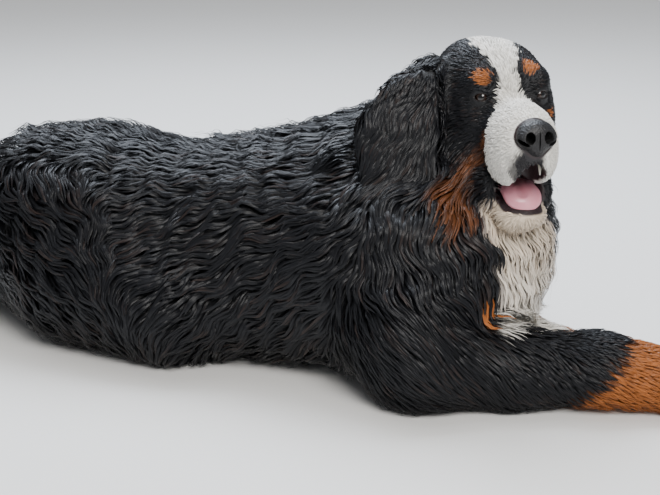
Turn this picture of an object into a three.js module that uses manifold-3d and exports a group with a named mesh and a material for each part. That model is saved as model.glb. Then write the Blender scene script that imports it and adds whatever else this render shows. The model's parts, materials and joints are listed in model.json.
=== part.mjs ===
// Bernese mountain dog lying on its chest with the head turned to its right: a still, life-size model.
// Millimetres. X runs forward along the back, Y to the dog's left, Z up, and the floor is z = 0.
// Each part of the body is a soft union of named masses (balls and limbs). A sphere's vertices are
// marched out from the part's own axis to that union, and the coat's locks are laid over it.
import * as THREE from "three";
import { mergeVertices } from "three/addons/utils/BufferGeometryUtils.js";
import Module from "manifold-3d";

const wasm = await Module();
wasm.setup();

// Driving dimensions
const GAP = 0.3; // clear gap between parts that touch
const WELD = 1e-3; // vertices closer than this are one
const HEAD_PLACE = [130, -16, 368]; // middle of the skull, between the ear roots
const HEAD_TURN = [-66.5, 2.5, 1]; // yaw, pitch and roll in degrees: the dog looks over its right shoulder
const EYE_SPOT = [51, 36, 7]; // in the head's own frame: x to the nose, y to the dog's left
const EYE_RADIUS = 12;
const NOSE_SPOT = [149, 0, -25];
// How far the hair stands out from the flesh, and how far of that is a closed core under the locks
const COAT = {
  torso: 28, neck: 28, thigh: 24, shank: 12, forearm: 10, foot: 7, tail: 40, ear: 16, head: 7, jaw: 6,
};
const CORE = { torso: 13, neck: 13, thigh: 11, shank: 12, forearm: 10, foot: 7, tail: 19, ear: 7 };

const COLOURS = {
  black: 0x17171b,
  white: 0xe9e6df,
  rust: 0x9a4f22,
  nose: 0x1d1c1f,
  eye: 0x2a1a10,
  tongue: 0xcf7c8c,
  claw: 0x2b2724,
};

const radians = THREE.MathUtils.degToRad;
const vector = (p) => new THREE.Vector3(...p);

// A frame from its place and its yaw, pitch (nose up) and roll in degrees.
function frameOf(place = [0, 0, 0], turn = [0, 0, 0]) {
  const [yaw, pitch, roll] = turn.map(radians);
  const spin = new THREE.Quaternion().setFromEuler(new THREE.Euler(roll, -pitch, yaw, "ZYX"));
  return new THREE.Matrix4().compose(vector(place), spin, new THREE.Vector3(1, 1, 1));
}

const BODY_FRAME = frameOf();
const HEAD_FRAME = frameOf(HEAD_PLACE, HEAD_TURN);

// A repeatable stream of numbers from 0 to 1.
function seeded(seed) {
  let state = seed >>> 0;
  return () => {
    state = (state + 0x6d2b79f5) >>> 0;
    let t = state;
    t = Math.imul(t ^ (t >>> 15), t | 1);
    t ^= t + Math.imul(t ^ (t >>> 7), t | 61);
    return ((t ^ (t >>> 14)) >>> 0) / 4294967296;
  };
}

// Masses: each gives the distance from a point to its surface, less inside
function ball(centre, radii, { turn, blend = 40, frame = BODY_FRAME } = {}) {
  const inverse = frame.clone().multiply(frameOf(centre, turn)).invert();
  const [a, b, c] = radii;
  const q = new THREE.Vector3();
  const distance = (p) => {
    q.copy(p).applyMatrix4(inverse);
    const near = Math.hypot(q.x / a, q.y / b, q.z / c);
    const steep = Math.hypot(q.x / (a * a), q.y / (b * b), q.z / (c * c));
    return (near * (near - 1)) / Math.max(steep, 1e-9);
  };
  return { distance, blend };
}

function limb(from, to, fromRadius, toRadius, { blend = 30, frame = BODY_FRAME } = {}) {
  const start = vector(from).applyMatrix4(frame);
  const along = vector(to).applyMatrix4(frame).sub(start);
  const q = new THREE.Vector3();
  const distance = (p) => {
    q.copy(p).sub(start);
    const share = THREE.MathUtils.clamp(q.dot(along) / along.lengthSq(), 0, 1);
    return q.addScaledVector(along, -share).length() - fromRadius - (toRadius - fromRadius) * share;
  };
  return { distance, blend };
}

function softMin(a, b, blend) {
  const h = Math.max(blend - Math.abs(a - b), 0) / blend;
  return Math.min(a, b) - (h * h * blend) / 4;
}

// The distance to a soft union of masses.
function union(masses) {
  return (p) => {
    let d = masses[0].distance(p);
    for (let i = 1; i < masses.length; i += 1) d = softMin(d, masses[i].distance(p), masses[i].blend);
    return d;
  };
}

function mirrored(point, side) {
  return [point[0], point[1] * side, point[2]];
}

// Masses of the body

const TORSO = union([
  ball([-60, 0, 160], [225, 148, 138]),
  ball([10, 0, 202], [120, 104, 114], { blend: 60 }),
  ball([80, -10, 160], [78, 100, 114], { blend: 60 }),
  ball([20, -112, 140], [105, 62, 112], { blend: 60 }),
  ball([20, 112, 140], [105, 62, 112], { blend: 60 }),
  ball([-270, 0, 148], [190, 120, 112], { blend: 60 }),
  ball([-440, -6, 152], [130, 114, 120], { blend: 60 }),
  ball([-532, -6, 146], [100, 104, 114], { blend: 60 }),
  ball([-210, 0, 88], [210, 134, 82], { blend: 60 }),
]);
const TORSO_AXIS = [[-532, -8, 130], [-270, 0, 135], [-60, 0, 150], [85, -5, 165]];

const NECK = union([
  limb([-10, 0, 222], [95, 28, 322], 100, 56),
  ball([114, -28, 262], [66, 58, 84], { blend: 50 }),
  ball([130, -38, 182], [60, 62, 98], { blend: 50 }),
  ball([-20, 0, -84], [46, 40, 44], { blend: 40, frame: HEAD_FRAME }),
]);
const NECK_AXIS = [[10, 0, 205], [60, 6, 262], [100, 14, 330]];

// A paw's own frame: x towards the toes, z up from the sole.
const TOE_ROWS = [-1.5, -0.5, 0.5, 1.5];
const TOE_SPACING = 17;
const toeReach = (row) => 34 - 5 * Math.abs(row);
function pawMasses(frame, size) {
  const at = (p) => p.map((v) => v * size);
  const toes = TOE_ROWS.map((row) =>
    ball(at([toeReach(row), row * TOE_SPACING, -3]), at([24, 10.5, 21]), { blend: 5, frame }),
  );
  return [ball([0, 0, 0], at([42, 36, 27]), { blend: 24, frame }), ...toes];
}

const PAWS = {
  foreleg_right: { place: [396, -88, 30], turn: [12, 0, 0], size: 1 },
  foreleg_left: { place: [238, -34, 28], turn: [-8, 0, 0], size: 0.93 },
  hindleg_right: { place: [-222, 190, 28], turn: [42, 0, 0], size: 0.92 },
  hindleg_left: { place: [-318, 322, 28], turn: [22, 0, 0], size: 0.92 },
};
const pawFrame = (name) => frameOf(PAWS[name].place, PAWS[name].turn);

// Each leg is made in stretches, so that a folded joint stays crisp. A stretch is an axis and its masses.
const LEGS = {
  foreleg_right: [
    {
      coat: "forearm",
      axis: [[54, -152, 74], [166, -135, 48], [285, -110, 49]],
      masses: [
        limb([40, -146, 96], [60, -150, 66], 66, 60),
        limb([60, -153, 60], [174, -132, 46], 55, 39, { blend: 30 }),
        limb([174, -132, 46], [282, -111, 49], 39, 38, { blend: 30 }),
      ],
    },
    {
      axis: [[270, -113, 48], [340, -100, 38], [405, -86, 28]],
      wrist: [[275, -112, 48], [375, -93, 34], 41, 34],
    },
  ],
  foreleg_left: [
    {
      coat: "forearm",
      axis: [[50, 146, 76], [102, 80, 52], [150, 14, 38]],
      masses: [
        limb([36, 144, 96], [54, 146, 66], 66, 60),
        limb([54, 146, 62], [150, 14, 36], 56, 31, { blend: 30 }),
      ],
    },
    {
      axis: [[146, 18, 36], [192, -18, 32], [260, -37, 27]],
      wrist: [[148, 16, 35], [216, -30, 30], 32, 29],
    },
  ],
  hindleg_right: [
    {
      coat: "thigh",
      axis: [[-450, -52, 98], [-370, -76, 88], [-285, -94, 74]],
      masses: [limb([-440, -58, 98], [-290, -96, 76], 90, 72)],
    },
    {
      coat: "shank",
      axis: [[-288, -88, 62], [-320, 0, 54], [-345, 75, 46]],
      masses: [limb([-290, -88, 62], [-345, 75, 44], 58, 34)],
    },
    {
      axis: [[-345, 75, 44], [-280, 138, 38], [-213, 198, 27]],
      wrist: [[-345, 75, 42], [-240, 174, 34], 34, 31],
    },
  ],
  hindleg_left: [
    {
      coat: "thigh",
      axis: [[-450, 50, 165], [-380, 116, 150], [-305, 172, 128]],
      masses: [limb([-440, 60, 165], [-305, 172, 126], 100, 72)],
    },
    {
      coat: "shank",
      axis: [[-300, 182, 112], [-370, 232, 80], [-440, 275, 52]],
      masses: [limb([-302, 184, 110], [-440, 275, 52], 60, 33)],
    },
    {
      axis: [[-440, 275, 50], [-376, 300, 40], [-308, 326, 27]],
      wrist: [[-440, 275, 46], [-338, 314, 34], 33, 31],
    },
  ],
};
for (const [name, stretches] of Object.entries(LEGS)) {
  const foot = stretches.at(-1);
  const [from, to, fromRadius, toRadius] = foot.wrist;
  foot.coat = "foot";
  foot.masses = [limb(from, to, fromRadius, toRadius), ...pawMasses(pawFrame(name), PAWS[name].size)];
}

const TAIL_POINTS = [[-575, -10, 128], [-650, 8, 78], [-708, 62, 52], [-728, 150, 46], [-702, 236, 40]];
const TAIL_RADII = [44, 38, 30, 24, 13];
const TAIL = union(TAIL_POINTS.slice(1).map((to, i) =>
  limb(TAIL_POINTS[i], to, TAIL_RADII[i], TAIL_RADII[i + 1], { blend: 20 }),
));

// Masses of the head, in its own frame

const inHead = (centre, radii, options = {}) => ball(centre, radii, { frame: HEAD_FRAME, ...options });
const bothSides = (make) => [-1, 1].map(make);
const HEAD = union([
  inHead([-16, 0, 10], [80, 61, 54]),
  ...bothSides((side) => inHead([0, 34 * side, -30], [60, 28, 46], { blend: 24 })),
  ...bothSides((side) => inHead([40, 28 * side, 25], [20, 18, 12], { blend: 14 })),
  inHead([94, 0, -28], [60, 31, 31], { blend: 24 }),
  ...bothSides((side) => inHead([102, 20 * side, -52], [46, 18, 34], { blend: 16 })),
  inHead([126, 0, -50], [24, 18, 20], { blend: 12 }),
]);
const HEAD_AXIS = [[-20, 0, 0], [40, 0, -14], [112, 0, -40]];

const JAW = union([
  limb([0, 0, -86], [84, 0, -126], 32, 17, { frame: HEAD_FRAME }),
  inHead([98, 0, -132], [22, 26, 11], { blend: 18 }),
  ...bothSides((side) => inHead([56, 33 * side, -102], [34, 9, 22], { turn: [0, -24, 0], blend: 12 })),
]);
const JAW_AXIS = [[8, 0, -88], [60, 0, -112], [102, 0, -131]];

const EARS = {
  ear_right: [
    inHead([-8, -80, 26], [20, 18, 22]),
    inHead([8, -104, -2], [11, 28, 34], { blend: 30 }),
    inHead([32, -130, -42], [9, 48, 64], { blend: 30, turn: [-8, 14, 0] }),
  ],
  ear_left: [
    inHead([-52, 50, 8], [22, 14, 20]),
    inHead([-58, 61, -44], [38, 8, 58], { blend: 26 }),
  ],
};
const EAR_AXES = {
  ear_right: [[-6, -84, 26], [8, -108, 0], [34, -130, -54]],
  ear_left: [[-52, 51, 10], [-55, 56, -18], [-58, 61, -64]],
};

// The hollow on the side of each ear that lies against the neck
const EAR_CUPS = {
  ear_right: { place: [14, -128, -46], radii: [9, 34, 44], turn: [-8, 14, 0] },
  ear_left: { place: [-58, 49, -46], radii: [26, 8, 40], turn: [0, 0, 0] },
};

// Solids: geometry to manifold-3d and back

function solidOf(geometry, weld = WELD) {
  const bare = geometry.index ? geometry.toNonIndexed() : geometry.clone();
  const place = new THREE.BufferGeometry().setAttribute("position", bare.getAttribute("position"));
  const merged = mergeVertices(place, weld);
  return new wasm.Manifold(
    new wasm.Mesh({
      numProp: 3,
      vertProperties: merged.attributes.position.array,
      triVerts: new Uint32Array(merged.index.array),
    }),
  );
}

function geometryOf(solid) {
  const { vertProperties, triVerts } = solid.getMesh();
  const geometry = new THREE.BufferGeometry()
    .setAttribute("position", new THREE.BufferAttribute(vertProperties, 3))
    .setIndex(new THREE.BufferAttribute(triVerts, 1));
  geometry.computeVertexNormals();
  return geometry;
}

// True where every edge lies between just two faces.
function isSealed(solid) {
  const { numProp, vertProperties, triVerts } = solid.getMesh();
  const spots = new Map();
  const spotOf = (k) => {
    const key = vertProperties.slice(k * numProp, k * numProp + 3).map((v) => Math.round(v / WELD)).join();
    if (!spots.has(key)) spots.set(key, spots.size);
    return spots.get(key);
  };
  const uses = new Map();
  for (let i = 0; i < triVerts.length; i += 3) {
    const corners = [0, 1, 2].map((k) => spotOf(triVerts[i + k]));
    if (new Set(corners).size < 3) continue;
    corners.forEach((a, k) => {
      const edge = [a, corners[(k + 1) % 3]].sort((x, y) => x - y).join();
      uses.set(edge, (uses.get(edge) ?? 0) + 1);
    });
  }
  return [...uses.values()].every((count) => count === 2);
}

// The solid with its closest vertices made one, so that a cut leaves no needle and no two folds touch.
const WELDS = [0.02, 0.01, 0.005, 0.002, 0.05, WELD];
function combed(solid) {
  const geometry = geometryOf(solid);
  for (const weld of WELDS) {
    try {
      const tidy = largest(solidOf(geometry, weld));
      if (isSealed(tidy)) return tidy;
    } catch {
      continue; // at this distance a fold of the surface runs into itself
    }
  }
  return solid;
}

const join = (solids) => solids.reduce((whole, piece) => whole.add(piece));
const cutBy = (solid, tools) => tools.reduce((rest, tool) => rest.subtract(tool), solid);

function largest(solid) {
  return solid.decompose().reduce((best, piece) => (piece.volume() > best.volume() ? piece : best));
}

// How far from a point along a direction the field rises through a level.
function reach(field, level, from, direction, step = 6) {
  const p = new THREE.Vector3();
  const above = (t) => field(p.copy(from).addScaledVector(direction, t)) > level;
  let low = 0;
  let high = step;
  while (!above(high)) {
    low = high;
    high += step;
  }
  for (let i = 0; i < 16; i += 1) {
    const middle = (low + high) / 2;
    if (above(middle)) high = middle;
    else low = middle;
  }
  return high;
}

// A ray out of an axis: pole runs from 0 at one round end to 1 at the other, turn goes round.
const END_SHARE = 0.22; // of the way from pole to pole that each round end takes
const curveOf = (axis, frame) => new THREE.CatmullRomCurve3(axis.map((p) => vector(p).applyMatrix4(frame)));
function leanOf(pole) {
  const lean = pole < 0.5 ? Math.min(pole / END_SHARE, 1) - 1 : 1 - Math.min((1 - pole) / END_SHARE, 1);
  return (lean * Math.PI) / 2;
}
function rayFrom(curve, pole, turn) {
  const share = THREE.MathUtils.clamp((pole - END_SHARE) / (1 - 2 * END_SHARE), 0, 1);
  const from = curve.getPointAt(share);
  const along = curve.getTangentAt(share);
  const side = new THREE.Vector3(0, 0, 1).cross(along).normalize();
  const up = along.clone().cross(side);
  const tilt = leanOf(pole);
  const ray = side.multiplyScalar(Math.cos(turn) * Math.cos(tilt));
  ray.addScaledVector(up, Math.sin(turn) * Math.cos(tilt)).addScaledVector(along, Math.sin(tilt)).normalize();
  return { from, along, ray };
}

// A closed skin round an axis. The sphere's poles become the two round ends of the axis.
function skinRound({ axis, frame = BODY_FRAME, field, level, rings, sides }) {
  const curve = curveOf(axis, frame);
  const sphere = new THREE.SphereGeometry(1, sides, rings);
  const spots = sphere.getAttribute("position");
  for (let i = 0; i < spots.count; i += 1) {
    const pole = Math.acos(THREE.MathUtils.clamp(spots.getY(i), -1, 1)) / Math.PI;
    const { from, ray } = rayFrom(curve, pole, Math.atan2(spots.getZ(i), spots.getX(i)));
    from.addScaledVector(ray, reach(field, level, from, ray));
    spots.setXYZ(i, from.x, from.y, from.z);
  }
  return facingOut(sphere);
}

// The geometry as a solid, turned right side out if its vertices were laid the other way round.
function facingOut(geometry) {
  const solid = solidOf(geometry);
  if (solid.volume() > 0) return solid;
  const index = geometry.index.array;
  for (let i = 0; i < index.length; i += 3) [index[i + 1], index[i + 2]] = [index[i + 2], index[i + 1]];
  return solidOf(geometry);
}

// A smooth round-sided blank: a ball of three.js's own, stretched and placed.
function blank(centre, radii, { turn, frame = HEAD_FRAME, sides = 16, rings = 10 } = {}) {
  const geometry = new THREE.SphereGeometry(1, sides, rings).scale(...radii);
  return solidOf(geometry.applyMatrix4(frame.clone().multiply(frameOf(centre, turn))));
}

const FLOOR_SIZE = 2400;
const UNDER_FLOOR = solidOf(new THREE.BoxGeometry(FLOOR_SIZE, FLOOR_SIZE, 400).translate(0, 0, -200));

// The coat: flat tapered locks, laid along the lie of the hair

const FLESH = [
  { name: "torso", field: TORSO, core: CORE.torso },
  { name: "neck", field: NECK, core: CORE.neck },
  { name: "head", field: HEAD, core: COAT.head },
  { name: "lower_jaw", field: JAW, core: COAT.jaw },
  { name: "tail", field: TAIL, core: CORE.tail },
  ...Object.entries(EARS).map(([name, masses]) => ({ name, field: union(masses), core: CORE.ear })),
  ...Object.entries(LEGS).flatMap(([name, stretches]) =>
    stretches.map(({ masses, coat }) => ({ name, field: union(masses), core: CORE[coat] })),
  ),
];

// The part whose core a point stands nearest to.
function nearestPart(p) {
  const heights = FLESH.map(({ field, core }) => field(p) - core);
  return FLESH[heights.indexOf(Math.min(...heights))].name;
}

// The height of a point over the closed cores of the whole body, and the way straight out.
const overBody = (p) => FLESH.reduce((low, { field, core }) => Math.min(low, field(p) - core), Infinity);
const NUDGE = 1.5;
function outward(p) {
  const q = new THREE.Vector3();
  const slope = [0, 1, 2].map((axis) => {
    const step = new THREE.Vector3().setComponent(axis, NUDGE);
    return overBody(q.copy(p).add(step)) - overBody(q.copy(p).sub(step));
  });
  return vector(slope).normalize();
}

const HAIR_FLOOR = 3; // the coat's lowest spots, just over the floor
function settled(p, height) {
  for (let i = 0; i < 2; i += 1) p.addScaledVector(outward(p), height - overBody(p));
  p.z = Math.max(p.z, HAIR_FLOOR);
  return p;
}

const ramp = (value, from, to) => THREE.MathUtils.clamp((value - from) / (to - from), 0, 1);

// Rings of one lock from root to tip: place, width, then height of its edges and its crest.
// Each height is a share of the lock's rise and a depth or thickness in millimetres.
const LOCK_RINGS = [
  { at: 0, width: 0.5, edge: [0, -9], crest: [0, -3] },
  { at: 0.3, width: 1, edge: [0, -4], crest: [0.4, 6] },
  { at: 0.6, width: 0.9, edge: [0, -2], crest: [0.7, 6] },
  { at: 0.8, width: 0.52, edge: [0.25, 0], crest: [0.75, 5] },
];
const LOCK_TIP = 0.7;
const LOCK_STEPS = 10;
const CURL = 5; // radians of sway from root to tip
const BEND_LEVELS = [16, 60]; // hair that comes down to here bends along the floor

// The path of a lock over the body from its root, following the lie of the hair.
function lockSpine({ root, lie, length, sway, phase }) {
  const spine = [];
  const p = root.clone();
  for (let i = 0; i <= LOCK_STEPS; i += 1) {
    const up = outward(p);
    const along = lie(p);
    if (along.z < 0) along.z *= ramp(p.z, ...BEND_LEVELS);
    along.addScaledVector(up, -along.dot(up)).normalize();
    const side = up.clone().cross(along);
    along.addScaledVector(side, sway * Math.sin(phase + (i / LOCK_STEPS) * CURL)).normalize();
    spine.push({ spot: p.clone(), along, up, side: up.clone().cross(along) });
    settled(p.addScaledVector(along, length / LOCK_STEPS), 0);
  }
  return spine;
}

// The vertices of a lock: left edge, crest and right edge of each ring, then the tip.
function lockVertices(spine, { width, rise }) {
  const rings = LOCK_RINGS.map(({ at, width: share, edge, crest }) => {
    const { spot, up, side } = spine[Math.round(at * LOCK_STEPS)];
    return [-1, 0, 1].map((way) => {
      const q = spot.clone().addScaledVector(side, (way * width * share) / 2);
      if (way === 0) return q.addScaledVector(up, crest[0] * rise + crest[1]);
      return settled(q, edge[0] * rise + edge[1]);
    });
  });
  const tip = settled(spine.at(-1).spot.clone(), LOCK_TIP * rise);
  const vertices = [...rings.flat(), tip];
  for (const q of vertices) q.z = Math.max(q.z, HAIR_FLOOR);
  return vertices;
}

// False where a lock folds over itself: each ring keeps its width and crest, and runs on from the last one.
const LEAST_WIDTH = 0.55;
function isSound(vertices, spine, { width }) {
  const difference = new THREE.Vector3();
  return LOCK_RINGS.every(({ at, width: share }, ring) => {
    const { along, up, side } = spine[Math.round(at * LOCK_STEPS)];
    const [left, crest, right] = vertices.slice(ring * 3, ring * 3 + 3);
    const wide = difference.subVectors(right, left).dot(side) > LEAST_WIDTH * share * width;
    const high = difference.addVectors(left, right).multiplyScalar(-0.5).add(crest).dot(up) > 1;
    const onward = [0, 1, 2].every((i) => {
      const next = vertices[Math.min(ring * 3 + 3 + i, vertices.length - 1)];
      return difference.subVectors(next, vertices[ring * 3 + i]).dot(along) > 3;
    });
    return wide && high && onward;
  });
}

function lockFaces() {
  const faces = [0, 1, 2];
  for (let ring = 1; ring < LOCK_RINGS.length; ring += 1) {
    for (let i = 0; i < 3; i += 1) {
      const [a, b] = [ring * 3 + i, ring * 3 + ((i + 1) % 3)];
      faces.push(a - 3, a, b - 3, b - 3, a, b);
    }
  }
  const tip = LOCK_RINGS.length * 3;
  for (let i = 0; i < 3; i += 1) faces.push(tip - 3 + i, tip, tip - 3 + ((i + 1) % 3));
  return faces;
}
const LOCK_FACES = lockFaces();

// Vertices moved out so that every face moves out by the distance; a sharp edge or tip moves farther.
const PASSES = 60;
function grown(vertices, faces, distance) {
  const moves = vertices.map(() => new THREE.Vector3());
  const normals = [];
  for (let i = 0; i < faces.length; i += 3) {
    const corners = faces.slice(i, i + 3);
    const plane = new THREE.Plane().setFromCoplanarPoints(...corners.map((k) => vertices[k]));
    normals.push({ corners, normal: plane.normal });
  }
  for (let pass = 0; pass < PASSES; pass += 1) {
    for (const { corners, normal } of normals) {
      for (const k of corners) moves[k].addScaledVector(normal, Math.max(distance - moves[k].dot(normal), 0));
    }
  }
  return vertices.map((q, k) => q.clone().add(moves[k].clampLength(0, 40 * distance)));
}

const lockSolid = (vertices) =>
  facingOut(new THREE.BufferGeometry().setFromPoints(vertices).setIndex([...LOCK_FACES]));

// The lie of the hair, as a direction at each point of the body
const LIES = {
  torso(p) {
    const low = ramp(p.z, 230, 70);
    const rump = ramp(p.x, -420, -540);
    const chest = ramp(p.x, 40, 130);
    const back = -1 + 0.5 * low + 0.8 * rump + 0.9 * chest;
    return vector([back, 0.2 * Math.sign(p.y) * low, -0.12 - low - rump - chest]);
  },
  neck: (p) => vector([-0.7 * ramp(p.x, 140, 30), 0, -1]),
  ear_right: () => vector([-0.5, 0, -1]),
  ear_left: () => vector([0.1, 0.2, -1]),
  foreleg_right: () => vector([-0.8, -0.1, -0.7]),
  foreleg_left: () => vector([-0.8, 0.1, -0.7]),
  hindleg_right: () => vector([0.45, -0.2, -1]),
  hindleg_left: () => vector([-0.45, 0.3, -1]),
};

// Where locks grow: a span of the part from pole to pole, how far apart their roots stand, their size
// and sideways sway, and the parts that they may hang over.
const SOWING = {
  torso: { span: [0.03, 0.97], spacing: 95, width: 98, length: 175, sway: 0.4, over: ["tail"] },
  neck: { span: [0.1, 0.95], spacing: 90, width: 80, length: 132, sway: 0.35, over: ["torso"] },
  tail: { span: [0.12, 0.96], spacing: 78, width: 70, length: 140, sway: 0.3, over: [] },
  ear_right: { span: [0.1, 0.85], spacing: 47, width: 50, length: 84, sway: 0.35, over: ["neck"] },
  ear_left: { span: [0.15, 0.85], spacing: 46, width: 42, length: 68, sway: 0.3, over: ["neck"] },
  foreleg_right: { span: [0.03, 0.4], spacing: 60, width: 60, length: 98, sway: 0.3, over: ["torso"] },
  foreleg_left: { span: [0.03, 0.4], spacing: 60, width: 60, length: 98, sway: 0.3, over: ["torso"] },
  hindleg_right: { span: [0.08, 0.94], spacing: 84, width: 88, length: 140, sway: 0.35, over: ["torso"] },
  hindleg_left: { span: [0.08, 0.94], spacing: 84, width: 88, length: 140, sway: 0.35, over: ["torso"] },
};
const SEED = 35; // of the scatter
const ROOT_TRIES = 500;
const ROOT_FLOOR = 50; // no lock grows lower than this, on the flats that the dog lies on
const ROOM = 1; // nor where another part stands this close
const STRAY = 0.005; // cubic millimetres of a lock that its grown form may miss
const SHORTEST = 0.5; // a lock that runs into another part ends there, or is left out below this share

function sowLocks({ name, axis, frame = BODY_FRAME, field, core, rise }, grow) {
  const { span, spacing, width, length, sway, over } = SOWING[name];
  const random = seeded(SEED + Object.keys(SOWING).indexOf(name));
  const vary = (share) => 1 + share * (2 * random() - 1);
  const others = FLESH.filter((part) => part.name !== name);
  const curve = curveOf(axis, frame);
  const roots = [];
  const locks = [];
  for (let i = 0; i < ROOT_TRIES; i += 1) {
    const pole = THREE.MathUtils.lerp(...span, random());
    const { from, along, ray } = rayFrom(curve, pole, 2 * Math.PI * random());
    const root = from.addScaledVector(ray, reach(field, core, from, ray));
    const crowded = others.some((part) => part.field(root) - part.core < ROOM);
    if (crowded || root.z < ROOT_FLOOR || roots.some((other) => other.distanceTo(root) < spacing)) continue;
    const lock = {
      root,
      lie: name === "tail" ? () => along.clone() : LIES[name],
      length: length * vary(0.18),
      width: width * vary(0.15),
      rise: rise * (1 - 0.25 * random()),
      sway,
      phase: random() * 2 * Math.PI,
    };
    const astray = lockSpine(lock).findIndex(({ spot }) => ![name, ...over].includes(nearestPart(spot)));
    const kept = astray < 0 ? 1 : (astray - 1) / LOCK_STEPS;
    lock.length *= kept;
    const spine = lockSpine(lock);
    const vertices = lockVertices(spine, lock);
    if (kept < SHORTEST || !isSound(vertices, spine, lock)) continue;
    const solid = lockSolid(vertices);
    const clear = lockSolid(grown(vertices, LOCK_FACES, GAP));
    if (solid.subtract(clear).volume() > STRAY) continue;
    roots.push(root);
    locks.push(grow > 0 ? clear : solid);
  }
  return locks;
}

// The solids of each part, grown outwards by a clearance when they cut a neighbour

// A closed core with its locks fused on.
function trunkSolid(name, grow) {
  const shape = TRUNK[name];
  const core = skinRound({ ...shape, level: CORE[name] + grow });
  const locks = sowLocks({ ...shape, name, core: CORE[name], rise: COAT[name] - CORE[name] }, grow);
  return join([core, ...locks]);
}
const TRUNK = {
  torso: { axis: TORSO_AXIS, field: TORSO, rings: 16, sides: 14 },
  neck: { axis: NECK_AXIS, field: NECK, rings: 9, sides: 12 },
  tail: { axis: TAIL_POINTS, field: TAIL, rings: 10, sides: 8 },
};

const ELBOW_RISE = 9; // how far the feathers stand off the back of a foreleg
function legSolid(name, grow) {
  const stretches = LEGS[name].map(({ axis, masses, coat }) => {
    const fine = coat === "foot" ? { rings: 12, sides: 12 } : { rings: 7, sides: 10 };
    return skinRound({ axis, field: union(masses), level: CORE[coat] + grow, ...fine });
  });
  const { axis, masses, coat } = LEGS[name][0];
  const rise = Math.max(COAT[coat] - CORE[coat], ELBOW_RISE);
  const locks = sowLocks({ name, axis, field: union(masses), core: CORE[coat], rise }, grow);
  return join([...stretches, ...locks]);
}

function earSolid(name, grow) {
  const shape = { axis: EAR_AXES[name], frame: HEAD_FRAME, field: union(EARS[name]) };
  const flap = skinRound({ ...shape, level: CORE.ear + grow, rings: 10, sides: 10 });
  const { place, radii, turn } = EAR_CUPS[name];
  const cup = blank(place, radii.map((r) => r - grow), { turn, sides: 10, rings: 6 });
  const locks = sowLocks({ ...shape, name, core: CORE.ear, rise: COAT.ear - CORE.ear }, grow);
  return join([flap.subtract(cup), ...locks]);
}

const eyeCentre = (side) => mirrored(EYE_SPOT, side);

function eyeSolid(side, grow) {
  return blank(eyeCentre(side), Array(3).fill(EYE_RADIUS + grow), { sides: 10, rings: 7 });
}

const wider = (radii, grow) => radii.map((r) => r + grow);

function noseSolid(grow) {
  const leather = [
    blank(NOSE_SPOT, wider([17, 23, 19], grow), { sides: 12, rings: 8 }),
    blank([NOSE_SPOT[0] + 1, 0, NOSE_SPOT[2] - 15], wider([15, 11, 15], grow), { sides: 8, rings: 5 }),
  ];
  const nostrils = bothSides((side) =>
    blank([NOSE_SPOT[0] + 12, 10 * side, NOSE_SPOT[2] - 1], [9, 5 - grow, 5.5 - grow], {
      turn: [24 * side, 10, 0], sides: 7, rings: 4,
    }),
  );
  return cutBy(join(leather), nostrils);
}

function tongueSolid(grow) {
  const body = blank([66, 0, -96], wider([44, 25, 9], grow), { turn: [0, -24, 0], sides: 10, rings: 5 });
  const tip = blank([106, 0, -116], wider([21, 25, 8], grow), { turn: [0, -38, 0], sides: 12, rings: 6 });
  return join([body, tip]);
}

function jawSolid(grow) {
  return skinRound({
    axis: JAW_AXIS, frame: HEAD_FRAME, field: JAW, level: COAT.jaw + grow, rings: 10, sides: 12,
  });
}

// A rolled rim round each eye, longer than it is tall. The eyeball's own cut leaves it as two lids.
const LIDS = { ring: 12.8, roll: 3, forward: 6, stretch: [1, 1.2, 0.9], look: [42, 8], open: [10, 12, 7.5] };
const eyeFrame = (side) =>
  HEAD_FRAME.clone().multiply(frameOf(eyeCentre(side), [LIDS.look[0] * side, LIDS.look[1], 0]));
function lidsSolid(side, grow) {
  const rim = new THREE.TorusGeometry(LIDS.ring, LIDS.roll + grow, 5, 12).rotateY(Math.PI / 2);
  rim.scale(...LIDS.stretch).translate(LIDS.forward, 0, 0);
  return solidOf(rim.applyMatrix4(eyeFrame(side)));
}

// The almond opening between the lids.
function eyeOpening(side, grow) {
  return blank([EYE_RADIUS, 0, 0], wider(LIDS.open, -grow), { frame: eyeFrame(side), sides: 10, rings: 6 });
}

function headSolid(grow) {
  const skull = skinRound({
    axis: HEAD_AXIS, frame: HEAD_FRAME, field: HEAD, level: COAT.head + grow, rings: 19, sides: 17,
  });
  const whole = join([skull, ...bothSides((side) => lidsSolid(side, grow))]);
  const roof = blank([92, 0, -84], wider([50, 20, 20], -grow), { turn: [0, -8, 0], sides: 12, rings: 6 });
  const philtrum = blank([142, 0, -56], [14, 1.4 - grow, 16], { turn: [0, 24, 0], sides: 8, rings: 6 });
  return cutBy(whole, [roof, philtrum, ...bothSides((side) => eyeOpening(side, grow))]);
}

// Claws: a short bent cone at each toe
const CLAW = { length: 17, root: 5.2, tip: 0.9, sunk: 4, reach: 19, down: -9, droop: -28 };
function clawPlaces(name) {
  const { size } = PAWS[name];
  return TOE_ROWS.map((row) => {
    const place = [toeReach(row) + CLAW.reach, row * TOE_SPACING, CLAW.down].map((v) => v * size);
    return pawFrame(name).multiply(frameOf(place, [row * 5, CLAW.droop, 0]));
  });
}

function clawGeometry(grow) {
  const { length, root, tip, sunk } = CLAW;
  const cone = new THREE.CylinderGeometry(tip + grow, root + grow, length + grow, 6, 1);
  cone.translate(0, length / 2 + grow / 2, 0).rotateZ(-Math.PI / 2).translate(-sunk, 0, 0);
  const spots = cone.getAttribute("position");
  for (let i = 0; i < spots.count; i += 1) {
    const x = Math.max(spots.getX(i), 0);
    spots.setZ(i, spots.getZ(i) - (x * x) / 60);
  }
  return cone;
}

// Assembly. Each later part is cut back by the grown earlier ones, so that parts meet across the gap.

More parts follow.
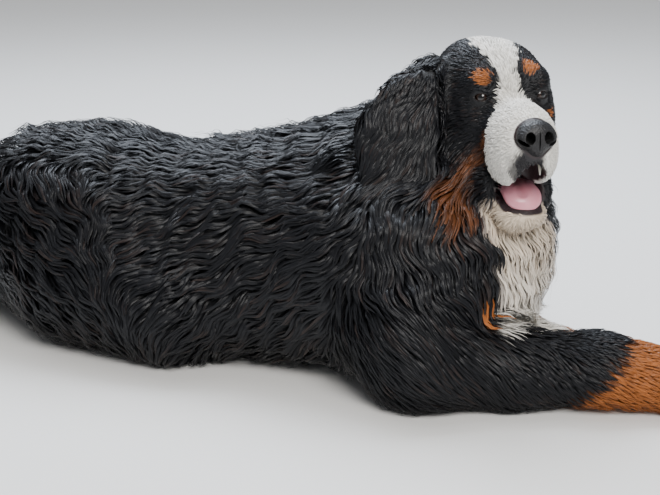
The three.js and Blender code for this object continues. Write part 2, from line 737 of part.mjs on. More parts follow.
const material = (colour, roughness) => new THREE.MeshStandardMaterial({
  color: COLOURS[colour], roughness, metalness: 0,
});
const dog = new THREE.Group();
const headGroup = new THREE.Group();
headGroup.applyMatrix4(HEAD_FRAME);
dog.add(headGroup);

function addPart(group, name, solid, colour, roughness = 0.8) {
  const geometry = geometryOf(solid);
  group.updateMatrix();
  if (group !== dog) geometry.applyMatrix4(group.matrix.clone().invert());
  const mesh = new THREE.Mesh(geometry, material(colour, roughness));
  mesh.name = name;
  group.add(mesh);
}

const legNames = Object.keys(LEGS);
const clawTools = legNames.flatMap((name) =>
  clawPlaces(name).map((place) => solidOf(clawGeometry(GAP).applyMatrix4(place))),
);
for (const name of legNames) {
  clawPlaces(name).forEach((place, i) => {
    const claw = new THREE.Mesh(clawGeometry(0), material("claw", 0.5));
    claw.name = `claw_${name}_${i + 1}`;
    claw.applyMatrix4(place);
    dog.add(claw);
  });
}

const earlier = [];
function settle(group, name, build, colour, roughness) {
  const solid = largest(cutBy(build(0), [...earlier, UNDER_FLOOR]));
  addPart(group, name, combed(solid), colour, roughness);
  earlier.push(build(GAP));
}

settle(headGroup, "eye_right", (grow) => eyeSolid(-1, grow), "eye", 0.1);
settle(headGroup, "eye_left", (grow) => eyeSolid(1, grow), "eye", 0.1);
settle(headGroup, "nose", noseSolid, "nose", 0.45);
settle(headGroup, "tongue", tongueSolid, "tongue", 0.4);
settle(headGroup, "lower_jaw", jawSolid, "white");
settle(headGroup, "head", headSolid, "black");
settle(headGroup, "ear_right", (grow) => earSolid("ear_right", grow), "black");
settle(headGroup, "ear_left", (grow) => earSolid("ear_left", grow), "black");
earlier.push(...clawTools);
for (const name of legNames) settle(dog, name, (grow) => legSolid(name, grow), "black");
for (const name of ["neck", "torso", "tail"]) settle(dog, name, (grow) => trunkSolid(name, grow), "black");

// The origin is the middle of the footprint, on the floor.
const box = new THREE.Box3().setFromObject(dog, true);
dog.position.set(-(box.min.x + box.max.x) / 2, -(box.min.y + box.max.y) / 2, 0);
dog.updateMatrixWorld(true);

export default dog;
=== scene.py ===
"""Bernese mountain dog lying on its chest, head turned to its right: skin, coat, eyes, nose, mouth, claws.

Shapes are worked out in millimetres in the dog's own axes (X forward, Y to its left, Z up, floor at 0) and
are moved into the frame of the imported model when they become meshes.
"""

import json
import math

import bmesh
import bpy
import numpy as np
from bpy.props import FloatProperty, FloatVectorProperty, IntProperty, PointerProperty
from mathutils import Euler, Matrix, Vector
from mathutils.kdtree import KDTree

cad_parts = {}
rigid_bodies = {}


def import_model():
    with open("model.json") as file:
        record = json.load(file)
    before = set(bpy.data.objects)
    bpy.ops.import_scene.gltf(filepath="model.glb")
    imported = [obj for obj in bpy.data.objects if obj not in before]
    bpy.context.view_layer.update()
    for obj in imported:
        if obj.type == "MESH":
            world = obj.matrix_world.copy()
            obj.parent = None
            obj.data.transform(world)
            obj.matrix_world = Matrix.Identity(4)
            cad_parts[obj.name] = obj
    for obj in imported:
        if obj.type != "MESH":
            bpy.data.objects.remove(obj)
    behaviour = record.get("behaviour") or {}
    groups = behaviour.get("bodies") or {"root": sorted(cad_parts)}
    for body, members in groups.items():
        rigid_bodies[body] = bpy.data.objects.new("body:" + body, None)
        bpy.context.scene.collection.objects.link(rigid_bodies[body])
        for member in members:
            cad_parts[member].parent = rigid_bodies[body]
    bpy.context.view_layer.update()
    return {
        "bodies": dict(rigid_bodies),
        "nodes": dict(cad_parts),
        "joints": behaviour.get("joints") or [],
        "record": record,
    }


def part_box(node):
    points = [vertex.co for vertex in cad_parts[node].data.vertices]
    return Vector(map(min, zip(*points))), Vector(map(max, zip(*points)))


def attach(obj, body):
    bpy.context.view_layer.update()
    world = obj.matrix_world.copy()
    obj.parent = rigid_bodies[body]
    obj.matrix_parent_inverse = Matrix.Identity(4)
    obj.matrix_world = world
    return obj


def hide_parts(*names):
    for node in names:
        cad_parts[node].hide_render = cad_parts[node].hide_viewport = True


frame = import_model()

bl_info = {
    "name": "Bernese Mountain Dog",
    "version": (1, 0, 0),
    "blender": (4, 5, 0),
    "location": "View3D > Sidebar > Dog",
    "description": "Dresses a lying Bernese mountain dog in skin and a long tricolour coat",
    "category": "Object",
}

MM = 0.001
BODY = "root"

# Driving sizes, in millimetres and degrees
HEAD_PLACE = (130, -16, 368)
HEAD_TURN = (-66.5, 2.5, 1)
EYE_SPOT = (51, 36, 7)
EYE_RADIUS = 12
EYE_TURN = (27, 8)
EYE_INWARD = {-1: 1, 1: 4}  # how far each eye stands in from its packed place
NOSE_SPOT = (149, 0, -25)
FLOOR_CLEAR = 2.5


def frame_of(place=(0, 0, 0), turn=(0, 0, 0)):
    """A frame from its place and its yaw, pitch (nose up) and roll in degrees."""
    yaw, pitch, roll = (math.radians(angle) for angle in turn)
    return Matrix.Translation(place) @ Euler((roll, -pitch, yaw), "XYZ").to_matrix().to_4x4()


def between(start, end):
    """A frame in the middle of two points, its z along the way from the first to the second."""
    turn = (end - start).to_track_quat("Z", "Y").to_matrix().to_4x4()
    return Matrix.Translation((start + end) / 2) @ turn


DOG_FRAME = frame_of()
HEAD_FRAME = frame_of(HEAD_PLACE, HEAD_TURN)
BOTH = (-1, 1)


def mirrored(point, side):
    """A point of the head's left half, or its twin on the right where the side is -1."""
    return (point[0], point[1] * side, point[2])


def eye_frame(side):
    """The eye's own frame: x looks out between the lids."""
    x, y, z = EYE_SPOT
    yaw, pitch = EYE_TURN
    return HEAD_FRAME @ frame_of((x, (y - EYE_INWARD[side]) * side, z), (yaw * side, pitch, 0))


def packed_shift():
    """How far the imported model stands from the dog's own axes, from the right eye's place in both."""
    low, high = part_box("eye_right")
    return (low + high) / 2 - HEAD_FRAME @ Vector(mirrored(EYE_SPOT, -1)) * MM


SHIFT = packed_shift()
SHIFT.z = 0
TO_FRAME = Matrix.Translation(SHIFT) @ Matrix.Scale(MM, 4)


# Points and directions


def moved(points, matrix):
    m = np.array(matrix)
    return points @ m[:3, :3].T + m[:3, 3]


def turned(vectors, matrix):
    return vectors @ np.array(matrix)[:3, :3].T


def unit(vectors):
    return vectors / np.maximum(np.linalg.norm(vectors, axis=-1, keepdims=True), 1e-9)


def dot(a, b):
    return np.einsum("ij,ij->i", a, b)[:, None]


def ramp(value, start, end):
    return np.clip((value - start) / (end - start), 0, 1)


def smooth(value, start, end):
    t = ramp(value, start, end)
    return t * t * (3 - 2 * t)


def ripple(points, wavelength, seed, waves=7):
    """Smooth noise about 0, from a few plane waves in random directions."""
    random = np.random.default_rng(seed)
    ways = unit(random.normal(size=(waves, 3))) * 2 * math.pi / wavelength
    ways *= random.uniform(0.6, 1.5, size=(waves, 1))
    return np.sin(points @ ways.T + random.uniform(0, 2 * math.pi, waves)).sum(1) / math.sqrt(waves)


# Masses: each gives the distance to its surface, less inside, and the plain shape that fills it


def soft_min(a, b, blend):
    """The lesser of two distances, rounded off where they are within the blend of each other."""
    h = np.maximum(blend - np.abs(a - b), 0) / blend
    return np.minimum(a, b) - h * h * blend / 4


class Ball:
    def __init__(self, centre, radii, turn=(0, 0, 0), blend=40, frame=DOG_FRAME):
        self.place = frame @ frame_of(centre, turn)
        self.inverse = self.place.inverted()
        self.radii = np.array(radii, float)
        self.blend = blend
        middle = np.array(self.place.translation)
        self.low = middle - max(radii)
        self.high = middle + max(radii)

    def distance(self, points):
        q = moved(points, self.inverse)
        near = np.linalg.norm(q / self.radii, axis=1)
        steep = np.linalg.norm(q / self.radii**2, axis=1)
        return near * (near - 1) / np.maximum(steep, 1e-9)

    def fill(self, bm, level, detail=3):
        size = Matrix.Diagonal((*(self.radii + level), 1))
        bmesh.ops.create_icosphere(bm, subdivisions=detail, radius=1, matrix=self.place @ size)


class Limb:
    def __init__(self, start, end, start_radius, end_radius, blend=30, frame=DOG_FRAME):
        self.start = frame @ Vector(start)
        self.end = frame @ Vector(end)
        self.radii = (start_radius, end_radius)
        self.blend = blend
        ends = np.array([self.start, self.end])
        self.low = ends.min(0) - max(self.radii)
        self.high = ends.max(0) + max(self.radii)

    def distance(self, points):
        along = np.array(self.end - self.start)
        q = points - np.array(self.start)
        share = np.clip(q @ along / (along @ along), 0, 1)
        radius = self.radii[0] + (self.radii[1] - self.radii[0]) * share
        return np.linalg.norm(q - share[:, None] * along, axis=1) - radius

    def fill(self, bm, level, detail=3):
        r0, r1 = (r + level for r in self.radii)
        length = (self.end - self.start).length
        bmesh.ops.create_cone(bm, cap_ends=True, segments=24, radius1=r0, radius2=r1, depth=length,
                              matrix=between(self.start, self.end))
        for spot, radius in ((self.start, r0), (self.end, r1)):
            place = Matrix.Translation(spot)
            bmesh.ops.create_icosphere(bm, subdivisions=detail, radius=radius, matrix=place)


def union(masses, points):
    """The distance to masses that run into each other."""
    total = masses[0].distance(points)
    for mass in masses[1:]:
        total = soft_min(total, mass.distance(points), mass.blend)
    return total


FAR = 80  # from here on, a part counts as far as its box


class Part:
    """A part of the body: its masses, how far its skin lies outside them, and how it joins the rest."""

    def __init__(self, name, masses, level, join):
        self.name = name
        self.masses = masses
        self.level = level
        self.join = join
        self.low = np.min([mass.low for mass in masses], axis=0)
        self.high = np.max([mass.high for mass in masses], axis=0)

    def distance(self, points):
        away = np.linalg.norm(np.maximum(np.maximum(self.low - points, points - self.high), 0), axis=1)
        near = away < FAR
        if near.any():
            away[near] = union(self.masses, points[near]) - self.level
        return away


# The body's masses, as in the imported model


def in_head(centre, radii, turn=(0, 0, 0), blend=40):
    return Ball(centre, radii, turn, blend, HEAD_FRAME)


TORSO = [
    Ball((-60, 0, 160), (225, 148, 138)),
    Ball((10, 0, 202), (120, 104, 114), blend=60),
    Ball((80, -10, 160), (78, 100, 114), blend=60),
    Ball((20, -112, 140), (105, 62, 112), blend=60),
    Ball((20, 112, 140), (105, 62, 112), blend=60),
    Ball((-270, 0, 148), (190, 120, 112), blend=60),
    Ball((-440, -6, 152), (130, 114, 120), blend=60),
    Ball((-532, -6, 146), (100, 104, 114), blend=60),
    Ball((-210, 0, 88), (210, 134, 82), blend=60),
]
NECK = [
    Limb((-10, 0, 222), (95, 28, 322), 100, 56),
    Ball((114, -28, 262), (66, 58, 84), blend=50),
    Ball((130, -38, 182), (60, 62, 98), blend=50),
    in_head((-20, 0, -84), (46, 40, 44), blend=40),
]
HEAD = [
    in_head((-16, -3, 10), (80, 58, 54)),
    in_head((-20, -34, 28), (46, 30, 30), blend=30),
    *(in_head((0, 34 * side, -30), (60, 28, 46), blend=24) for side in BOTH),
    *(in_head((40, 27 * side, 25), (20, 18, 12), blend=14) for side in BOTH),
    in_head((94, -2, -28), (60, 30, 31), blend=24),
    *(in_head((102, y, -52), (46, 18, 34), blend=16) for y in (-20, 15)),
    in_head((126, 0, -50), (24, 18, 20), blend=12),
]
LID_RADIUS = 11
LIDS = [Ball((0, 0, 0), [LID_RADIUS] * 3, blend=5, frame=eye_frame(side)) for side in BOTH]
GAPE = in_head((136, 0, -88), (44, 18, 33))  # the open front of the mouth, between the lips
JAW = [
    Limb((0, 0, -86), (84, 0, -126), 32, 17, frame=HEAD_FRAME),
    in_head((98, 0, -132), (22, 26, 11), blend=18),
    *(in_head((56, 33 * side, -102), (34, 9, 22), turn=(0, -24, 0), blend=12) for side in BOTH),
]
EARS = {
    "ear_right": [
        in_head((-8, -80, 26), (20, 18, 22)),
        in_head((8, -104, -2), (11, 28, 34), blend=30),
        in_head((30, -134, -42), (9, 44, 64), turn=(-8, 14, 0), blend=30),
    ],
    "ear_left": [
        in_head((-52, 50, 8), (22, 14, 20)),
        in_head((-58, 61, -44), (38, 8, 58), blend=26),
    ],
}
TOE_ROWS = (-1.5, -0.5, 0.5, 1.5)  # the toes' places across the paw, in spacings from its middle
TOE_SPACING = 17
TOE_RADII = (24, 10.5, 21)
TOE_DROP = 3
PAD_RADII = (42, 36, 27)
PAWS = {  # where each paw lies, the way that it points, and its size against the near forepaw
    "foreleg_right": ((396, -88, 30), 12, 1),
    "foreleg_left": ((238, -34, 28), -8, 0.93),
    "hindleg_right": ((-222, 190, 28), 42, 0.92),
    "hindleg_left": ((-318, 322, 28), 22, 0.92),
}


def paw_frame(leg):
    place, yaw, size = PAWS[leg]
    return frame_of(place, (yaw, 0, 0)) @ Matrix.Scale(size, 4)


def toe_reach(row):
    return 34 - 5 * abs(row)


def paw(leg):
    """A pad and four toes, in the paw's own frame: x towards the toes, z up from the sole."""
    place, yaw, size = PAWS[leg]
    home = frame_of(place, (yaw, 0, 0))
    pad, toe = ([radius * size for radius in radii] for radii in (PAD_RADII, TOE_RADII))
    toes = []
    for row in TOE_ROWS:
        centre = (toe_reach(row) * size, row * TOE_SPACING * size, -TOE_DROP * size)
        toes.append(Ball(centre, toe, blend=5, frame=home))
    return [Ball((0, 0, 0), pad, blend=24, frame=home), *toes]


TAIL_POINTS = [(-575, -10, 128), (-650, 8, 78), (-708, 62, 52), (-728, 150, 46), (-702, 236, 40)]
TAIL_RADII = (44, 38, 30, 24, 13)
TAIL = [
    Limb(TAIL_POINTS[i], TAIL_POINTS[i + 1], TAIL_RADII[i], TAIL_RADII[i + 1], blend=20)
    for i in range(len(TAIL_POINTS) - 1)
]

PARTS = [
    Part("torso", TORSO, 0, 0),
    Part("neck", NECK, 0, 40),
    Part("tail", TAIL, 0, 30),
    Part("foreleg_right", [
        Limb((40, -146, 96), (60, -150, 66), 66, 60),
        Limb((60, -153, 60), (174, -132, 46), 55, 39),
        Limb((174, -132, 46), (282, -111, 49), 39, 38),
    ], 3, 24),
    Part("forefoot_right", [Limb((275, -112, 48), (375, -93, 34), 41, 34), *paw("foreleg_right")], 3.5, 12),
    Part("foreleg_left", [
        Limb((36, 144, 96), (54, 146, 66), 66, 60),
        Limb((54, 146, 62), (150, 14, 36), 56, 31),
    ], 3, 24),
    Part("forefoot_left", [Limb((148, 16, 35), (216, -30, 30), 32, 29), *paw("foreleg_left")], 3.5, 12),
    Part("thigh_right", [Limb((-440, -58, 98), (-290, -96, 76), 90, 72)], 0, 26),
    Part("shank_right", [Limb((-290, -88, 62), (-345, 75, 44), 58, 34)], 4, 12),
    Part("hindfoot_right", [Limb((-345, 75, 42), (-240, 174, 34), 34, 31), *paw("hindleg_right")], 3.5, 12),
    Part("thigh_left", [Limb((-440, 60, 165), (-305, 172, 126), 100, 72)], 0, 26),
    Part("shank_left", [Limb((-302, 184, 110), (-440, 275, 52), 60, 33)], 4, 12),
    Part("hindfoot_left", [Limb((-440, 275, 46), (-338, 314, 34), 33, 31), *paw("hindleg_left")], 3.5, 12),
    Part("head", HEAD + LIDS, 3.5, 26),
    Part("lower_jaw", JAW, 3, 5),
    Part("ear_right", EARS["ear_right"], 2, 12),
    Part("ear_left", EARS["ear_left"], 2, 12),
]
INDEX = {part.name: i for i, part in enumerate(PARTS)}
FLESH_NODES = (
    "torso", "neck", "tail", "head", "lower_jaw", "ear_right", "ear_left",
    "foreleg_right", "foreleg_left", "hindleg_right", "hindleg_left",
)


def part_distances(points):
    """The distance to each part: a row for each part, a column for each point."""
    return np.array([part.distance(points) for part in PARTS])


def skin_height(points):
    """The height over the bare skin of the whole body, less than 0 inside it."""
    total = None
    for part in PARTS:
        own = part.distance(points)
        total = own if total is None else soft_min(total, own, part.join)
    return np.maximum(total, -GAPE.distance(points))


def slope(field, points, step=0.6):
    """A field's value and the way that it rises."""
    value = field(points)
    rise = np.empty_like(points)
    for axis in range(3):
        aside = points.copy()
        aside[:, axis] += step
        rise[:, axis] = field(aside) - value
    return value, unit(rise)


# Meshes


def new_object(name, mesh):
    piece = bpy.data.objects.new(name, mesh)
    bpy.context.scene.collection.objects.link(piece)
    return piece


def mesh_from(name, bm):
    mesh = bpy.data.meshes.new(name)
    bm.to_mesh(mesh)
    bm.free()
    return mesh


def points_of(mesh):
    spots = np.empty(len(mesh.vertices) * 3)
    mesh.vertices.foreach_get("co", spots)
    return spots.reshape(-1, 3)


def set_points(mesh, points):
    mesh.vertices.foreach_set("co", np.ascontiguousarray(points, float).ravel())
    mesh.update()


def set_attribute(mesh, label, values):
    """One number for each vertex, which the materials read by its label."""
    layer = mesh.attributes.new(label, "FLOAT", "POINT")
    layer.data.foreach_set("value", values.astype(np.float32).ravel())


def apply_modifiers(piece):
    """Makes the piece's modifiers part of its mesh."""
    graph = bpy.context.evaluated_depsgraph_get()
    mesh = bpy.data.meshes.new_from_object(piece.evaluated_get(graph))
    piece.modifiers.clear()
    old = piece.data
    piece.data = mesh
    bpy.data.meshes.remove(old)


def remeshed(piece, voxel):
    modifier = piece.modifiers.new("Remesh", "REMESH")
    modifier.mode = "VOXEL"
    modifier.voxel_size = voxel
    modifier.use_smooth_shade = True
    apply_modifiers(piece)


def drawn_to(mesh, field, passes=3, level=0.0, most=4.0):
    """Moves every vertex on to the field's surface."""
    points = points_of(mesh)
    for _ in range(passes):
        height, up = slope(field, points)
        points -= up * np.clip(height - level, -most, most)[:, None]
    set_points(mesh, points)


def softened(mesh, passes=2, factor=0.5):
    """Evens the mesh out by moving each vertex towards its neighbours."""
    bm = bmesh.new()
    bm.from_mesh(mesh)
    for _ in range(passes):
        bmesh.ops.smooth_vert(bm, verts=bm.verts, factor=factor,
                              use_axis_x=True, use_axis_y=True, use_axis_z=True)
    bm.to_mesh(mesh)
    bm.free()


def cut_from(piece, name, cutters):
    """Takes the cutters' shapes out of the piece."""
    bm = bmesh.new()
    for cutter in cutters:
        cutter.fill(bm, 0, detail=4)
    tool = new_object(name, mesh_from(name, bm))
    modifier = piece.modifiers.new("Cut", "BOOLEAN")
    modifier.operation = "DIFFERENCE"
    modifier.solver = "MANIFOLD"
    modifier.object = tool
    apply_modifiers(piece)
    bpy.data.objects.remove(tool)


def sculpted(name, masses, voxel, level=0.0):
    """A soft union of masses as one closed mesh."""
    bm = bmesh.new()
    for mass in masses:
        mass.fill(bm, level)
    piece = new_object(name, mesh_from(name, bm))
    for size in (voxel * 1.6, voxel):
        remeshed(piece, size)
        drawn_to(piece.data, lambda points: union(masses, points), level=level, most=2.5)
    softened(piece.data, passes=1)
    return piece


def placed(piece, material, slot, *nodes):
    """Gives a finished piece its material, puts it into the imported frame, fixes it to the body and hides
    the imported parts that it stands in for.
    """
    piece.data.materials.clear()
    piece.data.materials.append(material)
    piece.data.transform(TO_FRAME)
    piece.data.shade_smooth()
    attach(piece, BODY)
    if nodes:
        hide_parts(*nodes)


# Markings: how white, rust, grey or bare each place is, from 0 to 1

MARKS = ("white", "rust", "grey", "bare")
RUST_BAND = (((88, 43, -36), 7), ((66, 54, -68), 18), ((78, 76, -102), 24), ((104, 66, -128), 19))
RUST_BAND_SHARE = 0.36
LIP_CORNER = (((80, 38, -88), 8), ((98, 36, -112), 9))
BIB = (((178, -122, 236), 55), ((206, -60, 168), 46), ((188, -38, 94), 52))
BIB_ON_LEG = ((156, -110, 118), (42, 40, 30))
CREAM_SHARE = 0.6
CREAM_HEIGHTS = (120, 230)  # the bib grows creamier from the lower to the upper
CHEST_SPOTS = (((132, -127, 150), (20, 20, 14)), ((190, 18, 104), (22, 24, 15)))
LEG_RUST = {"foreleg_right": (-141, 34, 0.96), "foreleg_left": (-110, 34, 0.5),
            "hindleg_right": (-96, 34, 0.4), "hindleg_left": (-96, 34, 0.4)}
LOWER_LEG = {"fore": ("foreleg", "forefoot"), "hind": ("shank", "hindfoot")}
TAIL_TIP = ((-705, 215, 40), (60, 62, 60))
BROW_SPOTS = (((58, -37, 31), (13.5, 10, 9)), ((57, 23, 42), (13.5, 10, 9.5)))
EAR_SPOT = ((43, -106, 6), (8, 7, 6))
EAR_SPOT_SHARE = 0.45
CHEEK_SPOT = ((60, 50, -13), (9, 8, 7))
MOUTH = Ball((86, 0, -98), (58, 27, 20), turn=(0, -22, 0), frame=HEAD_FRAME)
UNDER_NOSE = ((150, -8, -60), (26, 23, 26))
BLAZE = np.array(((-70, -8, 2), (-40, -8, 22), (10, -8, 27), (30, -8, 22), (47, -8, 16.5), (64, -8, 10),
                  (71, -7, 11), (78, -5, 17), (88, -3, 28), (98, 0, 60), (200, 0, 60)), float)
# How far a marking's edge wanders, over what length, and the seed of it
HEAD_WANDER = (2.0, 16, 5)
BODY_WANDER = (6, 60, 11)
LEG_WANDER = (4, 40, 17)


def wander(points, reach, wavelength, seed):
    """How far the pattern is off its plain place at each point."""
    return reach * ripple(points, wavelength, seed)


def spot(points, place, start, end):
    """A round spot: 0 where a point is less deep in it than start, 1 from end on. Its centre is 1 deep."""
    centre, radii = place
    depth = 1 - np.linalg.norm((points - np.array(centre)) / np.array(radii), axis=1)
    return smooth(depth, start, end)


def chain(points, links):
    """The distance to a chain of tapering links, less inside."""
    near = np.full(len(points), 1e9)
    for (start, r0), (end, r1) in zip(links, links[1:]):
        near = np.minimum(near, Limb(start, end, r0, r1).distance(points))
    return near


def head_markings(points, distances):
    """The head's blaze, cheek band, small rust spots and grey, and how far a point is below the chin."""
    local = moved(points, HEAD_FRAME.inverted())
    local = local + wander(points, *HEAD_WANDER)[:, None] * np.array((0.4, 1, 0.6))
    x, y, z = local.T
    head = np.minimum(distances[INDEX["head"]], distances[INDEX["lower_jaw"]])
    ears = np.minimum(distances[INDEX["ear_right"]], distances[INDEX["ear_left"]])
    on_ear = (ears < head - 2).astype(float)
    middle, half = (np.interp(x, BLAZE[:, 0], BLAZE[:, column]) for column in (1, 2))
    blaze = smooth(half - np.abs(y - middle), -1.5, 1.5) * smooth(z, -104, -96) * smooth(head, 26, 14)
    blaze *= 1 - on_ear
    both = np.column_stack((x, np.abs(y), z))
    corner = smooth(chain(both, LIP_CORNER), 3, -3)
    band = smooth(chain(both, RUST_BAND), 5, -7) * (1 - corner) * (1 - blaze) * RUST_BAND_SHARE
    spots = [spot(local, place, -0.12, 0.16) for place in BROW_SPOTS]
    spots += [EAR_SPOT_SHARE * spot(local, EAR_SPOT, -0.2, 0.3), spot(local, CHEEK_SPOT, -0.2, 0.3)]
    grey = spot(local, UNDER_NOSE, -0.1, 0.35)
    return blaze * (1 - corner), band, np.max(spots, axis=0), grey, smooth(z, -108, -118)


def leg_markings(leg, points, distances):
    """The white of one leg's toes and the rust above them."""
    kind, side = leg.split("leg_")
    shin, foot = (INDEX[f"{part}_{side}"] for part in LOWER_LEG[kind])
    here = np.isin(distances.argmin(0), (shin, foot))
    reach = moved(points, paw_frame(leg).inverted())[:, 0] + wander(points, *LEG_WANDER)
    start, height, tilt = LEG_RUST[leg]
    toes = here * smooth(distances[foot] - distances.min(0), 9, 3) * smooth(reach, -8, 0)
    rust = here * smooth(reach - tilt * (points[:, 2] - height), start - 6, start + 6)
    return toes, rust


def bare_places(points):
    """The mouth with its lips, the tongue's bed and the nose, where no hair grows."""
    return np.maximum.reduce([
        smooth(MOUTH.distance(points), 1.0, -1.5),
        smooth(union(tongue_masses(), points), 7.5, 5.5),
        smooth(GAPE.distance(points), 2.0, 1.0),
        smooth(union(nose_masses(), points), 3.0, 2.0),
    ])


def markings(points):
    """White, rust, grey and bare at each point of the skin."""
    distances = part_distances(points)
    blaze, band, spots, grey, below_chin = head_markings(points, distances)
    body = points + wander(points, *BODY_WANDER)[:, None]
    bib = smooth(chain(body, BIB), 5, -5) * (1 - band) * below_chin
    cream = CREAM_SHARE * bib * ramp(points[:, 2], *CREAM_HEIGHTS)
    tan = np.maximum(*(spot(body, place, -0.15, 0.15) for place in CHEST_SPOTS))
    chest = np.maximum(bib, spot(body, BIB_ON_LEG, -0.05, 0.1)) * (1 - tan)
    white = np.maximum.reduce([blaze, chest, spot(body, TAIL_TIP, -0.05, 0.05)])
    rust = np.maximum.reduce([band, spots, tan])
    for leg in PAWS:
        toes, above = leg_markings(leg, points, distances)
        white = np.maximum(white, toes)
        rust = np.maximum(rust, above)
    return white, np.maximum(rust * (1 - white), cream), grey, bare_places(points)


# Materials


def shader(name, values):
    """A new node material: itself, its tree, and its Principled shader set to plain values."""
    material = bpy.data.materials.new(name)
    material.use_nodes = True
    surface = material.node_tree.nodes["Principled BSDF"]
    for label, value in values.items():
        surface.inputs[label].default_value = value
    return material, material.node_tree, surface


def fill_socket(tree, socket, value):
    """Feeds a socket from another one, or gives it a plain value."""
    if isinstance(value, bpy.types.NodeSocket):
        tree.links.new(value, socket)
    elif socket.type == "RGBA":
        socket.default_value = (*value[:3], 1)
    else:
        socket.default_value = value


def node(tree, kind, **values):
    """A new node with its plain settings and inputs."""
    made = tree.nodes.new(kind)
    for key, value in values.items():
        if hasattr(made, key):
            setattr(made, key, value)
        else:
            made.inputs[key].default_value = value
    return made


def colour_mix(tree, factor, first, second, mode="MIX"):
    """A Mix node for colours. Each input is a socket or a plain value."""
    made = node(tree, "ShaderNodeMix", data_type="RGBA", blend_type=mode)
    for index, value in ((0, factor), (6, first), (7, second)):
        fill_socket(tree, made.inputs[index], value)
    return made.outputs[2]


def sums(tree, operation, *values):
    """A Math node. Each input is a socket or a plain value."""
    made = node(tree, "ShaderNodeMath", operation=operation)
    for socket, value in zip(made.inputs, values):
        fill_socket(tree, socket, value)
    return made.outputs[0]


def attribute(tree, name):
    """A number that the mesh holds at each vertex."""
    return node(tree, "ShaderNodeAttribute", attribute_name=name).outputs["Fac"]


def texture(tree, kind, **values):
    """A texture laid out in metres on the piece itself."""
    made = node(tree, kind, **values)
    tree.links.new(tree.nodes.new("ShaderNodeTexCoord").outputs["Object"], made.inputs["Vector"])
    return made


def add_bump(tree, surface, height, strength, distance):
    bump = node(tree, "ShaderNodeBump", Strength=strength, Distance=distance)
    tree.links.new(height, bump.inputs["Height"])
    tree.links.new(bump.outputs[0], surface.inputs["Normal"])


def mottled(name, mottle, dark, pale, values, grain=None):
    """A finish that wanders between two colours.

    The mottle is a scale and a detail. The grain is those of a bump, with its strength and its depth.
    """
    material, tree, surface = shader(name, values)
    blotches = texture(tree, "ShaderNodeTexNoise", Scale=mottle[0], Detail=mottle[1])
    tree.links.new(colour_mix(tree, blotches.outputs[0], dark, pale), surface.inputs["Base Color"])
    if grain:
        scale, detail, strength, distance = grain
        grains = texture(tree, "ShaderNodeTexNoise", Scale=scale, Detail=detail)
        add_bump(tree, surface, grains.outputs[0], strength, distance)
    return material


TIP_BROWN = (0.045, 0.024, 0.015)
CREAM = (0.60, 0.42, 0.24)  # where rust and white run into each other


def hair_colour_group():
    """Mixes the coat's colours by the markings, with painted shade that darkens each tuft towards its root,
    and browned at some black tips.
    """
    name = "Hair Colour"
    if name in bpy.data.node_groups:
        return bpy.data.node_groups[name]
    group = bpy.data.node_groups.new(name, "ShaderNodeTree")
    for label in ("Black", "White", "Rust", "Grey"):
        group.interface.new_socket(label, in_out="INPUT", socket_type="NodeSocketColor")
    for label in ("White Share", "Rust Share", "Grey Share", "Tint", "Along"):
        group.interface.new_socket(label, in_out="INPUT", socket_type="NodeSocketFloat")
    group.interface.new_socket("Color", in_out="OUTPUT", socket_type="NodeSocketColor")
    given = group.nodes.new("NodeGroupInput").outputs
    tips = sums(group, "MULTIPLY", sums(group, "GREATER_THAN", given["Tint"], 0.8),
                sums(group, "MULTIPLY", given["Along"], 0.4))
    black = colour_mix(group, tips, given["Black"], TIP_BROWN)
    colour = colour_mix(group, given["Rust Share"], black, given["Rust"])
    cream = colour_mix(group, given["Rust Share"], given["White"], CREAM)
    colour = colour_mix(group, given["White Share"], colour, cream)
    colour = colour_mix(group, given["Grey Share"], colour, given["Grey"])
    light = sums(group, "MULTIPLY_ADD", given["Tint"], 0.45, 0.78)
    # painted shade: darker towards the root, from 0.62 of the colour there to about full at the tip
    deep = sums(group, "MULTIPLY_ADD", given["Along"], 0.4, 0.62)
    both = sums(group, "MULTIPLY", light, deep)
    # the random tint times the painted root shade, as a grey that the colour is multiplied by
    tint_and_root_shade = group.nodes.new("ShaderNodeCombineColor")
    for channel in tint_and_root_shade.inputs:
        group.links.new(both, channel)
    colour = colour_mix(group, 1.0, colour, tint_and_root_shade.outputs[0], mode="MULTIPLY")
    group.links.new(colour, group.nodes.new("NodeGroupOutput").inputs["Color"])
    return group


def hair_colour(tree, colours, tint, along):
    """The coat's colour at each place, from its markings, with the painted shade towards the roots."""
    made = node(tree, "ShaderNodeGroup", node_tree=hair_colour_group())
    for label in ("Black", "White", "Rust", "Grey"):
        fill_socket(tree, made.inputs[label], getattr(colours, label.lower()))
    for label in ("White", "Rust", "Grey"):
        fill_socket(tree, made.inputs[label + " Share"], attribute(tree, label.lower()))
    for label, value in (("Tint", tint), ("Along", along)):
        fill_socket(tree, made.inputs[label], value)
    return made.outputs["Color"]


def coat_material(colours):
    """Hair: fine streaks along each tuft, from its own Strand map."""
    material, tree, surface = shader("Long Coat", {"Roughness": 0.34, "Specular IOR Level": 0.17})
    place = node(tree, "ShaderNodeUVMap", uv_map="Strand")
    streaks = node(tree, "ShaderNodeTexNoise", Scale=1.0, Detail=2.0, Roughness=0.55)
    tree.links.new(place.outputs[0], streaks.inputs["Vector"])
    tint = sums(tree, "MULTIPLY_ADD", streaks.outputs[0], 0.9, -0.45)
    tint = sums(tree, "ADD", attribute(tree, "tint"), tint)
    tree.links.new(hair_colour(tree, colours, tint, attribute(tree, "along")), surface.inputs["Base Color"])
    add_bump(tree, surface, streaks.outputs[0], 0.6, 0.0007)
    return material


